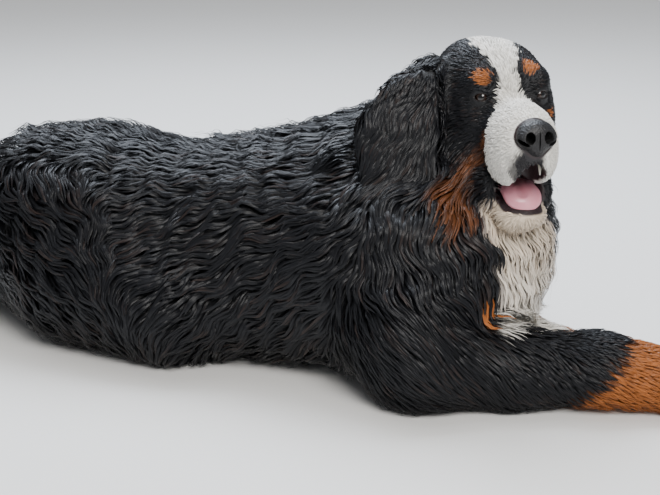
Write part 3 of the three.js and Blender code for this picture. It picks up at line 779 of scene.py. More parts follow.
def skin_material(colours):
    """Skin under the coat: the same markings, darkened by the coat's painted root shade at a fixed share,
    with the flesh of the lips and mouth.
    """
    material, tree, surface = shader("Skin", {})
    down = texture(tree, "ShaderNodeTexNoise", Scale=420.0, Detail=4.0, Roughness=0.65)
    # painted shade: Along is held at 0.55, so the skin takes the coat's root darkening at that depth
    fur = hair_colour(tree, colours, down.outputs[0], 0.55)
    flesh = texture(tree, "ShaderNodeTexNoise", Scale=60.0, Detail=3.0)
    mouth = colour_mix(tree, flesh.outputs[0], (0.006, 0.004, 0.005), (0.022, 0.008, 0.009))
    tree.links.new(colour_mix(tree, attribute(tree, "bare"), fur, mouth), surface.inputs["Base Color"])
    rough = sums(tree, "MULTIPLY_ADD", attribute(tree, "bare"), -0.4, 0.75)
    tree.links.new(rough, surface.inputs["Roughness"])
    add_bump(tree, surface, down.outputs[0], 0.7, 0.0012)
    return material


def nose_material():
    """Wet black nose leather with a pebbled grain, dull in the nostrils, where painted shade makes it near
    black.
    """
    material, tree, surface = shader("Nose Leather", {
        "Specular IOR Level": 0.34, "Coat Weight": 0.08, "Coat Roughness": 0.3,
    })
    worn = texture(tree, "ShaderNodeTexNoise", Scale=90.0, Detail=3.0)
    leather = colour_mix(tree, worn.outputs[0], (0.003, 0.003, 0.0035), (0.016, 0.015, 0.016))
    hollow = attribute(tree, "hollow")
    # painted shade: near black deep in the nostrils
    leather = colour_mix(tree, hollow, leather, (0.0005, 0.0004, 0.0004))
    tree.links.new(leather, surface.inputs["Base Color"])
    tree.links.new(sums(tree, "MULTIPLY_ADD", hollow, 0.45, 0.5), surface.inputs["Roughness"])
    pebbles = texture(tree, "ShaderNodeTexVoronoi", Scale=480.0, feature="SMOOTH_F1")
    add_bump(tree, surface, pebbles.outputs["Distance"], 0.9, 0.0012)
    return material


def tongue_material():
    return mottled("Tongue", (45, 4), (0.52, 0.17, 0.22), (0.72, 0.33, 0.38), {
        "Roughness": 0.38, "Subsurface Weight": 0.15, "Subsurface Radius": (0.004, 0.0015, 0.0012),
        "Coat Weight": 0.4, "Coat Roughness": 0.2,
    }, grain=(900, 2, 0.4, 0.0006))


def tooth_material():
    return mottled("Tooth", (150, 3), (0.72, 0.66, 0.52), (0.86, 0.83, 0.74), {"Roughness": 0.25})


def claw_material():
    return mottled("Claw", (220, 3), (0.03, 0.024, 0.02), (0.11, 0.085, 0.065), {"Roughness": 0.35},
                   grain=(220, 3, 0.3, 0.0004))


def lid_material():
    return mottled("Lid Rim", (300, 2), (0.004, 0.0035, 0.0035), (0.014, 0.010, 0.010), {"Roughness": 0.3})


def eye_material(side, colours):
    """Brown iris round a black pupil, measured from the line on which the eye looks."""
    material, tree, surface = shader("Eye " + ("Left" if side > 0 else "Right"), {
        "Roughness": 0.2, "Specular IOR Level": 0.3, "Coat Weight": 0.6, "Coat Roughness": 0.03,
    })
    look = TO_FRAME @ eye_frame(side)
    turn, centre = look.to_quaternion().to_matrix(), look.translation
    from_middle = node(tree, "ShaderNodeVectorMath", operation="SUBTRACT")
    fill_socket(tree, from_middle.inputs[0], tree.nodes.new("ShaderNodeTexCoord").outputs["Object"])
    fill_socket(tree, from_middle.inputs[1], centre)
    aside = []
    for axis in (1, 2):
        way = node(tree, "ShaderNodeVectorMath", operation="DOT_PRODUCT")
        fill_socket(tree, way.inputs[0], from_middle.outputs[0])
        fill_socket(tree, way.inputs[1], turn.col[axis])
        aside.append(sums(tree, "POWER", way.outputs["Value"], 2.0))
    spread = sums(tree, "POWER", sums(tree, "ADD", *aside), 0.5)
    rings = node(tree, "ShaderNodeValToRGB")
    tree.links.new(sums(tree, "DIVIDE", spread, EYE_RADIUS * MM), rings.inputs[0])
    iris = tuple(colours.iris)
    pupil = (0.002, 0.002, 0.002)
    stops = ((0.0, pupil), (0.28, pupil), (0.34, iris), (0.56, tuple(share * 0.5 for share in iris)),
             (0.66, (0.004, 0.003, 0.002)), (0.76, (0.025, 0.018, 0.015)), (1.0, (0.04, 0.022, 0.018)))
    elements = rings.color_ramp.elements
    while len(elements) < len(stops):
        elements.new(0.5)
    for element, (position, colour) in zip(elements, stops):
        element.position = position
        element.color = (*colour, 1)
    tree.links.new(rings.outputs[0], surface.inputs["Base Color"])
    return material


# The coat


class Growth:
    """How the hair grows on one part: sizes in millimetres, and its crowd in tufts to a square centimetre."""

    def __init__(self, lie, length, width, rise, crowd,
                 curl=0.0, crest=0.0, sway=0.1, clump=0.3, thick=0.3):
        self.lie = lie
        self.length = length
        self.width = width
        self.rise = rise
        self.crowd = crowd
        self.curl = curl  # sideways swing of its waves
        self.crest = crest  # height of its waves
        self.sway = sway
        self.clump = clump
        self.thick = thick


def steady(*way):
    """A lie that is the same all over the part."""
    return lambda p: np.tile(np.array(way, float), (len(p), 1))


def head_steady(*way):
    return steady(*(HEAD_FRAME.to_3x3() @ Vector(way)))


def torso_lie(p):
    """Back along the ribs, down the shoulders and rump, and forward with the folded haunches."""
    x, y, z = (p[:, axis] for axis in range(3))
    side = np.sign(y)
    low = ramp(z, 230, 60)
    flank = np.column_stack((-1 + 0.3 * low, 0.2 * side * low, -0.4 - 0.3 * low))
    down = np.column_stack((0.15 * ramp(x, -100, 60), 0.1 * side, -np.ones(len(p))))
    haunch = np.column_stack((0.9 * np.ones(len(p)), 0.1 * side, -0.45 - 0.2 * low))
    on_haunch = smooth(x + 0.46 * (z - 150), -322, -412) * smooth(z, 270, 215) * smooth(x, -600, -540)
    on_down = np.maximum(smooth(x, -70, 20) * smooth(z, 285, 225), smooth(x, -560, -610))
    on_down = np.maximum(on_down * (1 - on_haunch), 4 * on_haunch * (1 - on_haunch))
    along = (1 - on_haunch) * (1 - on_down)
    return flank * along[:, None] + haunch * on_haunch[:, None] + down * on_down[:, None]


def neck_lie(p):
    return np.column_stack((-0.5 * ramp(p[:, 0], 140, 30), np.zeros(len(p)), -np.ones(len(p))))


def head_lie(p):
    """Back from the nose, out over the cheeks and down the lips."""
    local = moved(p, HEAD_FRAME.inverted())
    x, y, z = local.T
    lips = ramp(z, -30, -60) * ramp(x, 60, 90)
    cheeks = ramp(z, 0, -60) * ramp(x, 70, 20)
    way = np.column_stack((-1 + 0.5 * lips + 0.5 * cheeks, 0.006 * y, -0.1 - 0.9 * lips - 1.1 * cheeks))
    return turned(way, HEAD_FRAME)


def tail_lie(p):
    ends = np.array(TAIL_POINTS, float)
    middles = (ends[1:] + ends[:-1]) / 2
    ways = unit(ends[1:] - ends[:-1])
    near = np.linalg.norm(p[:, None] - middles[None], axis=2)
    share = np.exp(-near / 40)
    return unit((share[:, :, None] * ways[None]).sum(1)) + np.array((0, 0, -0.25))


LONG_HAIR = dict(length=58, width=5, rise=26, crowd=3.1, curl=0.7, crest=2.4, sway=0.16, clump=0.35,
                 thick=0.16)
SHORT_HAIR = dict(length=13, width=2.6, rise=4, crowd=7, clump=0.2)
LEG_HAIR = dict(length=25, width=3.4, rise=8, crowd=5, clump=0.3)
EAR_HAIR = dict(width=3.6, crowd=8, curl=0.3, crest=0.7, sway=0.25, clump=0.5, thick=0.2)
LEAST_LONG = 30  # hair from this length on is grown as long coat


def hair(lie, *kinds, **changes):
    """The growth of a kind of hair, as a later kind or a change alters it."""
    values = {}
    for kind in (*kinds, changes):
        values.update(kind)
    return Growth(lie, **values)


GROWTH = {
    "torso": hair(torso_lie, LONG_HAIR),
    "neck": hair(neck_lie, LONG_HAIR, length=62, width=4.6, crowd=4, curl=0.4, crest=3.2, sway=0.2,
                 clump=0.42),
    "tail": hair(tail_lie, LONG_HAIR, length=84, rise=34, crowd=3.2, crest=1.5, clump=0.5),
    "thigh_right": hair(torso_lie, LONG_HAIR, crest=1.8, curl=0.25),
    "thigh_left": hair(torso_lie, LONG_HAIR, crest=1.8, curl=0.25),
    "ear_right": hair(steady(-0.35, -0.45, -1), LONG_HAIR, EAR_HAIR, length=46, rise=9),
    "ear_left": hair(steady(0.05, 0.45, -1), LONG_HAIR, EAR_HAIR, length=42, rise=10),
    "foreleg_right": hair(steady(0.7, 0, -0.6), LEG_HAIR),
    "foreleg_left": hair(steady(0.6, -0.4, -0.6), LEG_HAIR),
    "shank_right": hair(steady(-0.2, 0.6, -0.8), LEG_HAIR),
    "shank_left": hair(steady(-0.7, 0.4, -0.7), LEG_HAIR),
    "forefoot_right": hair(steady(1, 0.1, -0.2), SHORT_HAIR, crowd=9),
    "forefoot_left": hair(steady(0.95, -0.25, -0.2), SHORT_HAIR),
    "hindfoot_right": hair(steady(0.7, 0.6, -0.2), SHORT_HAIR),
    "hindfoot_left": hair(steady(0.9, 0.35, -0.2), SHORT_HAIR),
    "head": hair(head_lie, SHORT_HAIR, length=12, width=2, crowd=17),
    "lower_jaw": hair(head_steady(-1, 0, -0.5), SHORT_HAIR, length=10, width=2, rise=3.5, crowd=15),
}
SHORT = [name for name in GROWTH if GROWTH[name].length < LEAST_LONG]
CREST_LENGTH = 31
CURL_LENGTH = 48
BEND_LENGTH = 130  # the waves bend over about this far
SWAY_LENGTHS = (80, 36)
BLEND_OVER = 12  # hair changes from one part's growth to the next over about this far
LEAST_SHARE = 0.02
HEAD_LENGTHS = ((-70, 26), (-20, 15), (20, 12), (50, 10), (90, 7), (160, 5))
# What some places take off the growth there, as shares of it, or add to it
CHEEK_LESS = {"length": 0.42, "width": 0.5, "clump": 0.8, "crest": 0.6}
EAR_TOP_LESS = {"length": 0.6, "rise": 0.6, "curl": 0.6, "sway": 0.6}
EAR_CREASE_LESS = {"rise": 0.75, "crest": 0.75, "sway": 0.75}
ELBOW_MORE = {"length": 30, "rise": 7}
FLYAWAY = 0.03  # the share of stray tufts, and what makes them stray
FLYAWAY_TIMES = {"rise": 1.25, "width": 0.35, "clump": 0.2}
FULL_RINGS = 6
SHORT_RINGS = 3
LOCK_TUFTS = 9  # how many tufts draw together in a lock
ROOT_DEPTH = 1.5  # how far the roots lie under the skin
LOWEST_ROOT = 6
EYE_CLEAR = 3.5  # how far the hair stays off the eyeballs
ROOT_CELL = 12  # the side of the squares in which the skin is gone through for roots
FRAY = (2.4, 0.9)  # how far single tufts stray over the edge of a marking, on the body and on the face
PATCH = 0.0028  # the side of each tuft's patch on the OFBake map
STRAND_LENGTH = 25  # the length of hair that one unit of the Strand map covers
PIECE_TRIANGLES = 190000


def part_shares(points):
    """How far each part's growth counts at each point. The shares of a point add up to 1."""
    near = part_distances(points)
    near -= near.min(0)
    share = np.exp(-near / BLEND_OVER)
    return share / share.sum(0)


def lie_of(points, shares):
    """The way the hair lies, before it is laid along the skin."""
    way = np.zeros_like(points)
    for i, part in enumerate(PARTS):
        some = shares[i] > LEAST_SHARE
        if some.any():
            way[some] += shares[i][some, None] * unit(GROWTH[part.name].lie(points[some]))
    return unit(way)


def grown_values(name, shares):
    """One of the growth's sizes at each point, mixed from the parts near it."""
    return sum(shares[i] * getattr(GROWTH[part.name], name) for i, part in enumerate(PARTS))


def wave_of(points, way, wavelength, seed):
    """A wave that runs with the hair, its crests in step from hair to hair."""
    bend = 1.5 * ripple(points, BEND_LENGTH, seed)
    x, z = (2 * math.pi * points[:, axis] / wavelength + bend for axis in (0, 2))
    return np.abs(way[:, 0]) * np.sin(x) + np.abs(way[:, 2]) * np.sin(z)


def paths_of(roots, growth, rings):
    """Where each hair runs: rings + 1 points from its root, over the skin and along its lie."""
    p = roots.copy()
    spots = np.empty((rings + 1, len(roots), 3))
    ups = np.empty_like(spots)
    before = None
    for k in range(rings + 1):
        t = k / rings
        height, up = slope(skin_height, p, 1.0)
        way = lie_of(p, part_shares(p))
        swell = 1 - (1 - min(t * 1.5, 1)) ** 2
        target = -ROOT_DEPTH + (growth["rise"] + ROOT_DEPTH) * swell
        target += growth["crest"] * min(2.5 * t, 1) * wave_of(p, way, CREST_LENGTH, 24)
        p = p + up * np.clip(target - height, -8, 12)[:, None]
        p[:, 2] = np.maximum(p[:, 2], FLOOR_CLEAR + 2 * t)
        spots[k] = p
        ups[k] = up
        way = unit(way - up * dot(way, up))
        side = np.cross(up, way)
        curl = growth["curl"] * wave_of(p, way, CURL_LENGTH, 21)
        wide, narrow = (ripple(p, wavelength, seed) for wavelength, seed in zip(SWAY_LENGTHS, (22, 23)))
        tousle = growth["sway"] * (wide + 0.4 * narrow)
        way = unit(way + side * (curl + tousle)[:, None])
        if before is not None:
            way = unit(way + 0.4 * before)
        before = way
        p = p + way * (growth["length"] / rings)[:, None]
    return spots, ups


def clumped(spots, roots, clump, random):
    """Draws neighbouring hairs together towards their tips, so that the coat falls in locks."""
    count = len(roots)
    leaders = random.choice(count, max(count // LOCK_TUFTS, 1), replace=False)
    tree = KDTree(len(leaders))
    for slot, leader in enumerate(leaders):
        tree.insert(roots[leader], slot)
    tree.balance()
    mine = leaders[[tree.find(root)[1] for root in roots]]
    steps = len(spots) - 1
    for k in range(1, steps + 1):
        t = k / steps
        pull = (clump * t**1.3)[:, None]
        spots[k] += (spots[k][mine] - spots[k]) * pull
    return mine


def tuft_faces(rings):
    """The faces of one tuft: left edge, crest and right edge on each ring, then the tip."""
    faces = [(0, 1, 2)]
    for ring in range(1, rings):
        for i in range(3):
            a, b = ring * 3 + i, ring * 3 + (i + 1) % 3
            faces += [(a - 3, a, b - 3), (b - 3, a, b)]
    last = (rings - 1) * 3
    faces += [(last + i, rings * 3, last + (i + 1) % 3) for i in range(3)]
    return np.array(faces)


def taper(t):
    """A tuft's width along its length, full at 1: narrower at the root and down to nothing at the tip."""
    return min(0.55 + 1.6 * t, 1) * (1 - t**2.2) ** 0.8


def tuft_arrays(spots, ups, width, thick):
    """Vertices of flat, tapered tufts along their paths."""
    rings = len(spots) - 1
    along = unit(np.diff(spots, axis=0, append=spots[-1:] * 2 - spots[-2:-1]))
    vertices = np.empty((spots.shape[1], rings * 3 + 1, 3))
    for k in range(rings):
        share = taper(k / rings)
        side = unit(np.cross(ups[k], along[k]))
        for i, way in enumerate((-1, 0, 1)):
            vertices[:, k * 3 + i] = spots[k] + side * (way * width * share / 2)[:, None]
        vertices[:, k * 3 + 1] += np.cross(along[k], side) * (thick * share)[:, None]
    vertices[:, -1] = spots[-1]
    return vertices


def unwrapped(points, shares):
    """A place on the skin's own unwrap: a row for each part, along its length and round it."""
    nearest = shares.argmax(0)
    flat = np.empty((len(points), 2))
    for i, part in enumerate(PARTS):
        mine = nearest == i
        low, high = part.low, part.high
        size = np.maximum(high - low, 1)
        long, wide, deep = np.argsort(-size)
        q = (points[mine] - (low + high) / 2) / size
        turn = np.arctan2(q[:, deep], q[:, wide]) / (2 * math.pi) + 0.5
        along = 0.005 + 0.99 * np.clip(q[:, long] + 0.5, 0, 1)
        flat[mine] = np.column_stack((along, (i + 0.04 + 0.92 * turn) / len(PARTS)))
    return flat


def coat_mesh(name, vertices, faces, values, flat, strand):
    """One mesh of many tufts, with their markings and their two maps."""
    count, per = vertices.shape[:2]
    corners = (faces[None] + (np.arange(count) * per)[:, None, None]).reshape(-1)
    mesh = bpy.data.meshes.new(name)
    mesh.vertices.add(count * per)
    mesh.vertices.foreach_set("co", vertices.ravel())
    mesh.loops.add(len(corners))
    mesh.loops.foreach_set("vertex_index", corners)
    mesh.polygons.add(len(corners) // 3)
    mesh.polygons.foreach_set("loop_start", np.arange(0, len(corners), 3))
    mesh.update(calc_edges=True)
    for label, array in values.items():
        set_attribute(mesh, label, array)
    for label, array in (("OFBake", flat), ("Strand", strand)):
        layer = mesh.uv_layers.new(name=label)
        layer.data.foreach_set("uv", array.reshape(-1, 2)[corners].astype(np.float32).ravel())
    return mesh


def skin_roots(skin, crowding, random):
    """Roots spread over the skin, as crowded as each part's hair grows."""
    mesh = skin.data
    mesh.calc_loop_triangles()
    corners = np.empty(len(mesh.loop_triangles) * 3, int)
    mesh.loop_triangles.foreach_get("vertices", corners)
    points = moved(points_of(mesh), TO_FRAME.inverted())
    triangle = points[corners.reshape(-1, 3)]
    first, second = (triangle[:, corner] - triangle[:, 0] for corner in (1, 2))
    normal = np.cross(first, second)
    area = np.linalg.norm(normal, axis=1) / 2
    middle = triangle.mean(1)
    shares = part_shares(middle)
    wanted = area / 100 * grown_values("crowd", shares) * crowding
    bare = markings(middle)[3] > 0.3
    for side in BOTH:
        away = np.linalg.norm(middle - np.array(eye_frame(side).translation), axis=1)
        bare |= away < EYE_RADIUS + EYE_CLEAR
    bare |= middle[:, 2] < LOWEST_ROOT
    wanted[bare] = 0
    # Little hair grows where the body lies on the floor
    facing = normal[:, 2] / (2 * area)
    wanted *= 1 - 0.85 * ramp(facing, -0.5, -0.8) * ramp(middle[:, 2], 70, 30)
    order = np.lexsort((middle[:, 1] // ROOT_CELL, middle[:, 0] // ROOT_CELL))
    total = np.cumsum(wanted[order])
    picks = np.arange(0.5, total[-1]) + random.uniform(-0.5, 0.5, int(total[-1] + 0.5))
    chosen = order[np.clip(np.searchsorted(total, picks), 0, len(order) - 1)]
    a, b = random.random((2, len(chosen)))
    over = a + b > 1
    a[over], b[over] = 1 - a[over], 1 - b[over]
    return triangle[chosen, 0] + first[chosen] * a[:, None] + second[chosen] * b[:, None]


def lessened(growth, less, share):
    """Takes a part of some of the growth's values away where the share is 1."""
    for name, part in less.items():
        growth[name] *= 1 - part * share


def growth_at(roots, settings, random):
    """Every root's own growth: its part's values, the face's and elbows' own lengths, and some scatter."""
    shares = part_shares(roots)
    names = ("length", "width", "rise", "curl", "crest", "sway", "clump", "thick")
    growth = {name: grown_values(name, shares) for name in names}
    local = moved(roots, HEAD_FRAME.inverted())
    stops = np.array(HEAD_LENGTHS, float)
    short = np.interp(local[:, 0], stops[:, 0], stops[:, 1])
    short += 12 * ramp(local[:, 2], -30, -70) * ramp(local[:, 0], 80, 40)
    on_head = shares[INDEX["head"]]
    growth["length"] += (short - growth["length"]) * on_head
    growth["rise"] += (0.8 + 0.22 * short - growth["rise"]) * on_head
    ears = [INDEX["ear_right"], INDEX["ear_left"]]
    head = PARTS[INDEX["head"]].distance(roots)
    for ear in ears:
        crease = smooth(np.abs(PARTS[ear].distance(roots) - head), 12, 3) * (shares[ear] + on_head)
        lessened(growth, EAR_CREASE_LESS, crease)
    lessened(growth, EAR_TOP_LESS, shares[ears].sum(0) * ramp(local[:, 2], 0, 25))
    face = np.minimum(head, PARTS[INDEX["lower_jaw"]].distance(roots))
    lessened(growth, CHEEK_LESS, shares[INDEX["neck"]] * ramp(face, 62, 20))
    elbow = (shares[INDEX["foreleg_right"]] + shares[INDEX["foreleg_left"]]) * ramp(roots[:, 0], 190, 60)
    for name, more in ELBOW_MORE.items():
        growth[name] += more * elbow
    growth["length"] *= settings.length * random.uniform(0.75, 1.2, len(roots))
    growth["rise"] *= random.uniform(0.5, 1.0, len(roots))
    growth["width"] *= settings.width * random.uniform(0.6, 1.25, len(roots))
    growth["clump"] *= settings.clump * random.uniform(0.6, 1.1, len(roots))
    fly = random.random(len(roots)) < FLYAWAY
    for name, times in FLYAWAY_TIMES.items():
        growth[name][fly] *= times
    return shares, growth


def grow_coat(label, roots, settings, rings, material, seed):
    """Grows tufts from the roots and joins them in pieces that stay small enough."""
    random = np.random.default_rng(seed)
    count = len(roots)
    shares, growth = growth_at(roots, settings, random)
    length, width = growth["length"], growth["width"]
    spots, ups = paths_of(roots, growth, rings)
    mine = clumped(spots, roots, growth["clump"], random)
    vertices = tuft_arrays(spots, ups, width, growth["thick"] * width)
    tint = 0.55 * random.random(count) + 0.45 * random.random(count)[mine]
    face = shares[INDEX["head"]] + shares[INDEX["lower_jaw"]]
    stray = (FRAY[0] + (FRAY[1] - FRAY[0]) * face)[:, None]
    marks = dict(zip(MARKS[:3], markings(roots + stray * random.normal(size=roots.shape))))
    flat = unwrapped(roots, shares)
    per = vertices.shape[1]
    slot = np.arange(per)
    along = np.minimum(slot // 3, rings) / rings
    across = np.where(slot == per - 1, 0, slot % 3 - 1)
    patch = np.column_stack((across / 2, along - 0.5)) * PATCH
    offset = random.uniform(0, 60, (count, 1, 2))
    strand = (across * width[:, None] / 2, along * length[:, None] / STRAND_LENGTH)
    strand = offset + np.stack(strand, axis=2)
    faces = tuft_faces(rings)
    pieces = math.ceil(count * len(faces) / PIECE_TRIANGLES)
    order = np.argsort(roots @ np.array((1.0, 0.25, 0.1)))
    for number, some in enumerate(np.array_split(order, pieces)):
        each = np.ones((len(some), per))
        values = {mark: array[some, None] * each for mark, array in {**marks, "tint": tint}.items()}
        # along runs from 0 at the root to 1 at the tip, for the painted root shade and the brown tips
        values["along"] = along * each
        name = f"coat_{label}_{number + 1}"
        mesh = coat_mesh(name, vertices[some], faces, values, flat[some, None] + patch, strand[some])
        placed(new_object(name, mesh), material, "coat")
        mesh.set_sharp_from_angle(angle=math.radians(75))


# Settings


class DogCoatSettings(bpy.types.PropertyGroup):
    length: FloatProperty(name="Length", description="Hair length against its natural length", default=1.0,
                          min=0.3, max=1.6, subtype="FACTOR")
    width: FloatProperty(name="Tuft Width", description="Width of each tuft against its natural width",
                         default=1.0, min=0.3, max=2.0, subtype="FACTOR")
    crowding: FloatProperty(name="Crowding", description="Number of tufts against the full coat", default=1.0,
                            min=0.05, max=1.2, subtype="FACTOR")
    clump: FloatProperty(name="Clumping", description="How far the hair draws together in locks", default=1.0,
                         min=0.0, max=1.3, subtype="FACTOR")
    seed: IntProperty(name="Seed", description="Scatter of the tufts", default=7, min=0)


class DogColourSettings(bpy.types.PropertyGroup):
    black: FloatVectorProperty(name="Black", description="Main coat", subtype="COLOR",
                               default=(0.0085, 0.0088, 0.0105), min=0, max=1)
    white: FloatVectorProperty(name="White", description="Blaze, muzzle, chest, toes and tail tip",
                               subtype="COLOR", default=(0.80, 0.77, 0.71), min=0, max=1)
    rust: FloatVectorProperty(name="Rust", description="Brow spots, cheeks and lower legs", subtype="COLOR",
                              default=(0.31, 0.098, 0.024), min=0, max=1)
    grey: FloatVectorProperty(name="Grey", description="Mottled fur under the nose", subtype="COLOR",
                              default=(0.018, 0.017, 0.019), min=0, max=1)
    iris: FloatVectorProperty(name="Iris", description="Brown of the eyes", subtype="COLOR",
                              default=(0.02, 0.008, 0.004), min=0, max=1)


class DogStudioSettings(bpy.types.PropertyGroup):
    camera_height: FloatProperty(name="Camera Height", description="Lens over the floor", default=0.636,
                                 unit="LENGTH")
    camera_pitch: FloatProperty(name="Camera Pitch", description="Tilt down from level",
                                default=math.radians(18), subtype="ANGLE")
    camera_heading: FloatProperty(name="Camera Heading", description="Turn from looking straight at the side",
                                  default=math.radians(15), subtype="ANGLE")
    lens: FloatProperty(name="Lens", description="Focal length on a 36 mm sensor", default=62.73)
    light: FloatProperty(name="Light", description="Strength of the soft lights", default=1.0, min=0)


class DogSettings(bpy.types.PropertyGroup):
    coat: PointerProperty(type=DogCoatSettings, name="Coat", description="Hair sizes")
    colours: PointerProperty(type=DogColourSettings, name="Colours", description="Coat and eye colours")
    studio: PointerProperty(type=DogStudioSettings, name="Studio", description="Camera and lights")


# Pieces, their sizes in millimetres


NOSE_VOXEL = 1.2
NOSE_RADII = (17, 22.5, 17.5)
TONGUE_VOXEL = 1.4
GROOVE_DEPTH = 3.5
SKIN_VOXELS = (9, 6)
FACE_SIZES = (122, 104)  # the skin is made finer within these distances from the middle of the face
LOWEST_SKIN = 0.4
NOSE_BED = 18  # how far the skin lies back under the nose leather
LID_OPENING = (9, 10.5, 5.6)
RIM_OVAL = (9.6, 5.4)  # half the width and height of the opening that the lid's rim goes round
RIM_RADIUS = 1.0
RIM_OUT = 0.9  # how far the rim stands out from the eyeball
TOOTH_ROOT = (126, 14, -60)
TOOTH_TIP = (131, 12.5, -76)
CLAW_LENGTH = 21
CLAW_RADIUS = 5
CLAW_STEPS = 7
CLAW_DROP = 2.2
LIGHT_AIM = Vector((0.1, -0.05, 0.2))  # metres
CAMERA_X = 297.8
CAMERA_Y = -1469.3


def nose_masses():
    x, _, z = NOSE_SPOT
    return [
        in_head((x, 0, z + 1), NOSE_RADII),
        *(in_head((x + 6, 13 * side, z - 3), (11, 10, 10), blend=6) for side in BOTH),
        in_head((x + 2, 0, z - 12), (14, 11, 13), blend=8),
    ]


def tongue_masses():
    return [
        in_head((66, 1, -95), (44, 24, 9), turn=(0, -24, 0)),
        in_head((100, 3, -110), (19, 22, 7.5), turn=(0, -40, 0), blend=14),
    ]


def in_head_way(way):
    """A way given in the head's axes, turned into the dog's own."""
    return np.array(HEAD_FRAME.to_3x3() @ Vector(way))


def near_face(points, size):
    """Which points lie in a flattened ball round the face."""
    local = moved(points, HEAD_FRAME.inverted())
    return np.linalg.norm((local - np.array((62, 0, -46))) / np.array((1, 0.8, 1)), axis=1) < size


class DOG_OT_skin(bpy.types.Operator):
    """One closed skin for the whole body, finer over the face"""

    bl_idname = "dog.skin"
    bl_label = "Skin"

    def execute(self, context):
        bm = bmesh.new()
        for part in PARTS:
            for mass in part.masses:
                mass.fill(bm, part.level + 1)
        skin = new_object("skin", mesh_from("skin", bm))
        for voxel in SKIN_VOXELS:
            remeshed(skin, voxel)
            if voxel == SKIN_VOXELS[0]:
                cut_from(skin, "gape", [GAPE])
            drawn_to(skin.data, skin_height, most=5)
            softened(skin.data)
        for size in FACE_SIZES:
            self.divide(skin.data, size)
            drawn_to(skin.data, skin_height, passes=2)
        points = points_of(skin.data)
        points[:, 2] = np.maximum(points[:, 2], LOWEST_SKIN)
        under_nose = smooth(union(nose_masses(), points), -2, -7)
        set_points(skin.data, points - in_head_way((NOSE_BED, 0, 0)) * under_nose[:, None])
        openings = [Ball((EYE_RADIUS + 0.5, 0, 0), LID_OPENING, frame=eye_frame(side)) for side in BOTH]
        cut_from(skin, "openings", openings)
        for mark, values in zip(MARKS, markings(points_of(skin.data))):
            set_attribute(skin.data, mark, values)
        placed(skin, skin_material(context.scene.dog.colours), "coat", *FLESH_NODES)
        return {"FINISHED"}

    def divide(self, mesh, size):
        """Splits the faces round the face in four."""
        bm = bmesh.new()
        bm.from_mesh(mesh)
        inside = near_face(points_of(mesh), size)
        edges = [edge for edge in bm.edges if all(inside[vertex.index] for vertex in edge.verts)]
        bmesh.ops.subdivide_edges(bm, edges=edges, cuts=1, use_grid_fill=True)
        bmesh.ops.triangulate(bm, faces=[face for face in bm.faces if len(face.verts) > 4])
        bm.to_mesh(mesh)
        bm.free()


class DOG_OT_coat(bpy.types.Operator):
    """Long coat on the body and ears, short fur on the face and lower legs"""

    bl_idname = "dog.coat"
    bl_label = "Coat"

    def execute(self, context):
        settings = context.scene.dog.coat
        random = np.random.default_rng(settings.seed)
        roots = skin_roots(bpy.data.objects["skin"], settings.crowding, random)
        nearest = part_distances(roots).argmin(0)
        short = np.isin(nearest, [INDEX[name] for name in SHORT])
        material = coat_material(context.scene.dog.colours)
        grow_coat("long", roots[~short], settings, FULL_RINGS, material, settings.seed + 1)
        grow_coat("short", roots[short], settings, SHORT_RINGS, material, settings.seed + 2)
        return {"FINISHED"}


class DOG_OT_eyes(bpy.types.Operator):
    """Eyeballs with a clear front, and the dark rims of the lids"""

    bl_idname = "dog.eyes"
    bl_label = "Eyes"

    def execute(self, context):
        for side, name in ((-1, "right"), (1, "left")):
            eye = new_object("dressed_eye_" + name, mesh_from("eye", self.eyeball(side)))
            placed(eye, eye_material(side, context.scene.dog.colours), "eye", "eye_" + name)
            rim = new_object("lid_rim_" + name, mesh_from("lid_rim", self.rim(side)))
            placed(rim, lid_material(), "nose_leather")
        return {"FINISHED"}

    def eyeball(self, side):
        """A ball that bulges at its clear front."""
        bm = bmesh.new()
        bmesh.ops.create_uvsphere(bm, u_segments=48, v_segments=32, radius=EYE_RADIUS)
        for vertex in bm.verts:
            way = vertex.co.normalized()
            bulge = max(way.x - 0.8, 0) / 0.2
            vertex.co += way * bulge**1.5 * 1.2
        bmesh.ops.transform(bm, matrix=eye_frame(side), verts=bm.verts)
        return bm

    def rim(self, side):
        """A thin damp roll round the opening between the lids: a spun ring, laid over the eye's front."""
        bm = bmesh.new()
        spun = 5 * RIM_RADIUS
        bmesh.ops.create_circle(bm, segments=8, radius=RIM_RADIUS, matrix=Matrix.Translation((0, spun, 0)))
        bmesh.ops.spin(bm, geom=bm.verts[:] + bm.edges[:], cent=(0, 0, 0), axis=(1, 0, 0),
                       angle=2 * math.pi, steps=48, use_merge=True)
        for vertex in bm.verts:
            forward_part, across_part = vertex.co.x, vertex.co.yz.length - spun
            outward = Vector((0, *vertex.co.yz.normalized()))
            middle = Vector((0, RIM_OVAL[0] * outward.y, RIM_OVAL[1] * outward.z))
            middle.x = math.sqrt((EYE_RADIUS + RIM_OUT) ** 2 - middle.length_squared)
            forward = middle.normalized()
            across = (outward - forward * outward.dot(forward)).normalized()
            vertex.co = middle + forward * forward_part + across * across_part
        bmesh.ops.recalc_face_normals(bm, faces=bm.faces)
        bmesh.ops.transform(bm, matrix=eye_frame(side), verts=bm.verts)
        return bm


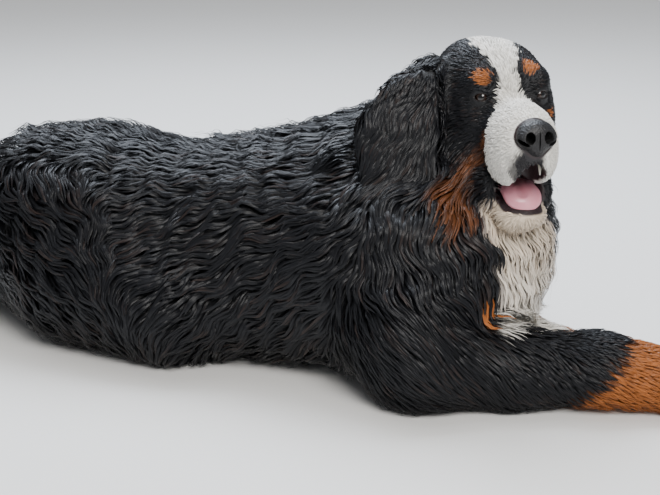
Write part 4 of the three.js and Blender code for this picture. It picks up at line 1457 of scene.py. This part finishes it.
class DOG_OT_nose(bpy.types.Operator):
    """Nose leather with its nostrils and the groove between them"""

    bl_idname = "dog.nose"
    bl_label = "Nose"

    def execute(self, context):
        nose = sculpted("dressed_nose", nose_masses(), NOSE_VOXEL)
        x, _, z = NOSE_SPOT
        holes = []
        for side in BOTH:
            holes.append(in_head((x + 13, 10 * side, z - 1), (14, 5.8, 7.4), turn=(20 * side, 10, 0)))
            holes.append(in_head((x + 10, 17 * side, z - 6), (9, 8.5, 3), turn=(30 * side, 0, 26 * side)))
        holes.append(in_head((x + 18, 0, z - 8), (4, 0.9, 16), turn=(0, 10, 0)))
        cut_from(nose, "nostrils", holes)
        softened(nose.data, passes=1, factor=0.4)
        # how deep a point lies in the nostrils: the mask of their painted shade and their dullness
        set_attribute(nose.data, "hollow", smooth(union(nose_masses(), points_of(nose.data)), -1, -4))
        placed(nose, nose_material(), "nose_leather", "nose")
        return {"FINISHED"}


class DOG_OT_mouth(bpy.types.Operator):
    """Tongue with its middle groove, and the tips of the upper canine teeth"""

    bl_idname = "dog.mouth"
    bl_label = "Mouth"

    def execute(self, context):
        tongue = sculpted("dressed_tongue", tongue_masses(), TONGUE_VOXEL)
        groove = Limb((40, 0, -72), (108, 0, -101), 4.5, 4.5, frame=HEAD_FRAME)
        points = points_of(tongue.data)
        depth = np.maximum(GROOVE_DEPTH - groove.distance(points), 0)
        set_points(tongue.data, points + unit(in_head_way((-0.4, 0, -0.9))) * (0.55 * depth)[:, None])
        placed(tongue, tongue_material(), "tongue", "tongue")
        teeth = new_object("teeth", mesh_from("teeth", self.teeth()))
        placed(teeth, tooth_material(), "claw")
        return {"FINISHED"}

    def teeth(self):
        """The tips of the upper canines, each a blunt cone between its root and its tip."""
        bm = bmesh.new()
        for side in BOTH:
            root, tip = (Vector(mirrored(point, side)) for point in (TOOTH_ROOT, TOOTH_TIP))
            bmesh.ops.create_cone(bm, cap_ends=True, segments=14, radius1=3.6, radius2=0.8,
                                  depth=(tip - root).length, matrix=HEAD_FRAME @ between(root, tip))
        bmesh.ops.bevel(bm, geom=[edge for edge in bm.edges if edge.calc_length() < 1], offset=0.3,
                        affect="EDGES", segments=2, profile=0.5, material=-1)
        return bm


class DOG_OT_claws(bpy.types.Operator):
    """Four bent claws on each paw"""

    bl_idname = "dog.claws"
    bl_label = "Claws"

    def execute(self, context):
        material = claw_material()
        for leg in PAWS:
            bm = bmesh.new()
            for row in TOE_ROWS:
                root = frame_of((toe_reach(row) + 17, row * TOE_SPACING, -8), (row * 5, -26, 0))
                self.claw(bm, paw_frame(leg) @ root)
            piece = new_object("claws_" + leg, mesh_from("claws", bm))
            placed(piece, material, "claw", *(f"claw_{leg}_{i + 1}" for i in range(len(TOE_ROWS))))
        return {"FINISHED"}

    def width(self, t):
        """A claw's width along it: 1 at the root, 0 at the tip."""
        return (1 - t**1.7) ** 0.7

    def claw(self, bm, home):
        """One claw: a ring drawn out forward in steps, each narrower and lower than the one before."""
        ring = bmesh.ops.create_circle(bm, segments=12, radius=CLAW_RADIUS,
                                       matrix=Matrix.Rotation(math.pi / 2, 4, "Y"))
        mine = list(ring["verts"])
        edges = list({edge for vertex in mine for edge in vertex.link_edges})
        for k in range(1, CLAW_STEPS + 1):
            t = k / CLAW_STEPS
            made = bmesh.ops.extrude_edge_only(bm, edges=edges)["geom"]
            verts = [item for item in made if isinstance(item, bmesh.types.BMVert)]
            edges = [item for item in made if isinstance(item, bmesh.types.BMEdge)]
            middle = sum((vertex.co for vertex in verts), Vector()) / len(verts)
            shrink = self.width(t) / self.width(t - 1 / CLAW_STEPS) if t < 1 else 0.3
            step = Vector((CLAW_LENGTH / CLAW_STEPS, 0, -CLAW_DROP * t**2))
            for vertex in verts:
                vertex.co = middle + (vertex.co - middle) * shrink + step
            mine += verts
        bmesh.ops.contextual_create(bm, geom=edges)
        for vertex in mine:
            vertex.co = home @ Vector((vertex.co.x - 5, vertex.co.y * 0.8, vertex.co.z))
        bmesh.ops.recalc_face_normals(bm, faces=bm.faces)


class DOG_OT_stage(bpy.types.Operator):
    """Pale floor, soft studio lights and the camera at the photo's angle"""

    bl_idname = "dog.stage"
    bl_label = "Stage"

    def execute(self, context):
        studio = context.scene.dog.studio
        self.floor()
        self.surroundings()
        self.lights(studio.light)
        self.camera(studio)
        return {"FINISHED"}

    def floor(self):
        bm = bmesh.new()
        bmesh.ops.create_grid(bm, x_segments=4, y_segments=4, size=8)
        floor = new_object("floor", mesh_from("floor", bm))
        material, _, _ = shader("Floor", {"Base Color": (0.72, 0.71, 0.69, 1), "Roughness": 0.85})
        floor.data.materials.append(material)

    def surroundings(self):
        """Faint light from all round."""
        world = bpy.data.worlds.new("Studio")
        world.use_nodes = True
        background = world.node_tree.nodes["Background"]
        background.inputs["Color"].default_value = (0.86, 0.89, 0.94, 1)
        background.inputs["Strength"].default_value = 0.36
        bpy.context.scene.world = world

    def lights(self, strength):
        for name, place, size, power, colour in (
            ("Key", (1.2, -2.4, 2.6), 1.6, 150, (1, 0.98, 0.95)),
            ("Top", (-0.5, 1.1, 2.6), 1.8, 150, (0.80, 0.88, 1)),
        ):
            light = bpy.data.lights.new(name, "AREA")
            light.size = size
            self.add_light(light, power * strength, colour, place)
        sky = bpy.data.lights.new("Sky", "SUN")
        sky.angle = math.radians(50)
        self.add_light(sky, 1.3 * strength, (0.95, 0.97, 1), (-0.6, 0.5, 3))

    def add_light(self, light, energy, colour, place):
        """Hangs a light at its place, aimed at the dog."""
        light.energy = energy
        light.color = colour
        lamp = bpy.data.objects.new(light.name, light)
        lamp.location = place
        lamp.rotation_euler = (LIGHT_AIM - lamp.location).to_track_quat("-Z", "Y").to_euler()
        bpy.context.scene.collection.objects.link(lamp)

    def camera(self, studio):
        data = bpy.data.cameras.new("Camera")
        data.sensor_width = 36
        data.lens = studio.lens
        data.clip_end = 50
        camera = bpy.data.objects.new("Camera", data)
        camera.location = (CAMERA_X * MM + SHIFT.x, CAMERA_Y * MM + SHIFT.y, studio.camera_height)
        camera.rotation_euler = (math.pi / 2 - studio.camera_pitch, 0, studio.camera_heading)
        bpy.context.scene.collection.objects.link(camera)
        bpy.context.scene.camera = camera


class DOG_PT_panel(bpy.types.Panel):
    """Lists the pieces of the dog and their settings"""

    bl_idname = "DOG_PT_panel"
    bl_label = "Bernese Mountain Dog"
    bl_space_type = "VIEW_3D"
    bl_region_type = "UI"
    bl_category = "Dog"

    def draw(self, context):
        dog = context.scene.dog
        for operator in OPERATORS:
            self.layout.operator(operator.bl_idname)
        for settings in (dog.coat, dog.colours, dog.studio):
            box = self.layout.box()
            for name in settings.bl_rna.properties.keys():
                if name not in ("rna_type", "name"):
                    box.prop(settings, name)


OPERATORS = (DOG_OT_stage, DOG_OT_skin, DOG_OT_coat, DOG_OT_eyes, DOG_OT_nose, DOG_OT_mouth, DOG_OT_claws)
CLASSES = (DogCoatSettings, DogColourSettings, DogStudioSettings, DogSettings, *OPERATORS, DOG_PT_panel)


def register():
    for cls in CLASSES:
        bpy.utils.register_class(cls)
    bpy.types.Scene.dog = PointerProperty(type=DogSettings)


def unregister():
    del bpy.types.Scene.dog
    for cls in reversed(CLASSES):
        bpy.utils.unregister_class(cls)


def main():
    register()
    for step in ("stage", "skin", "coat", "eyes", "nose", "mouth", "claws"):
        getattr(bpy.ops.dog, step)()


if __name__ == "__main__":
    main()
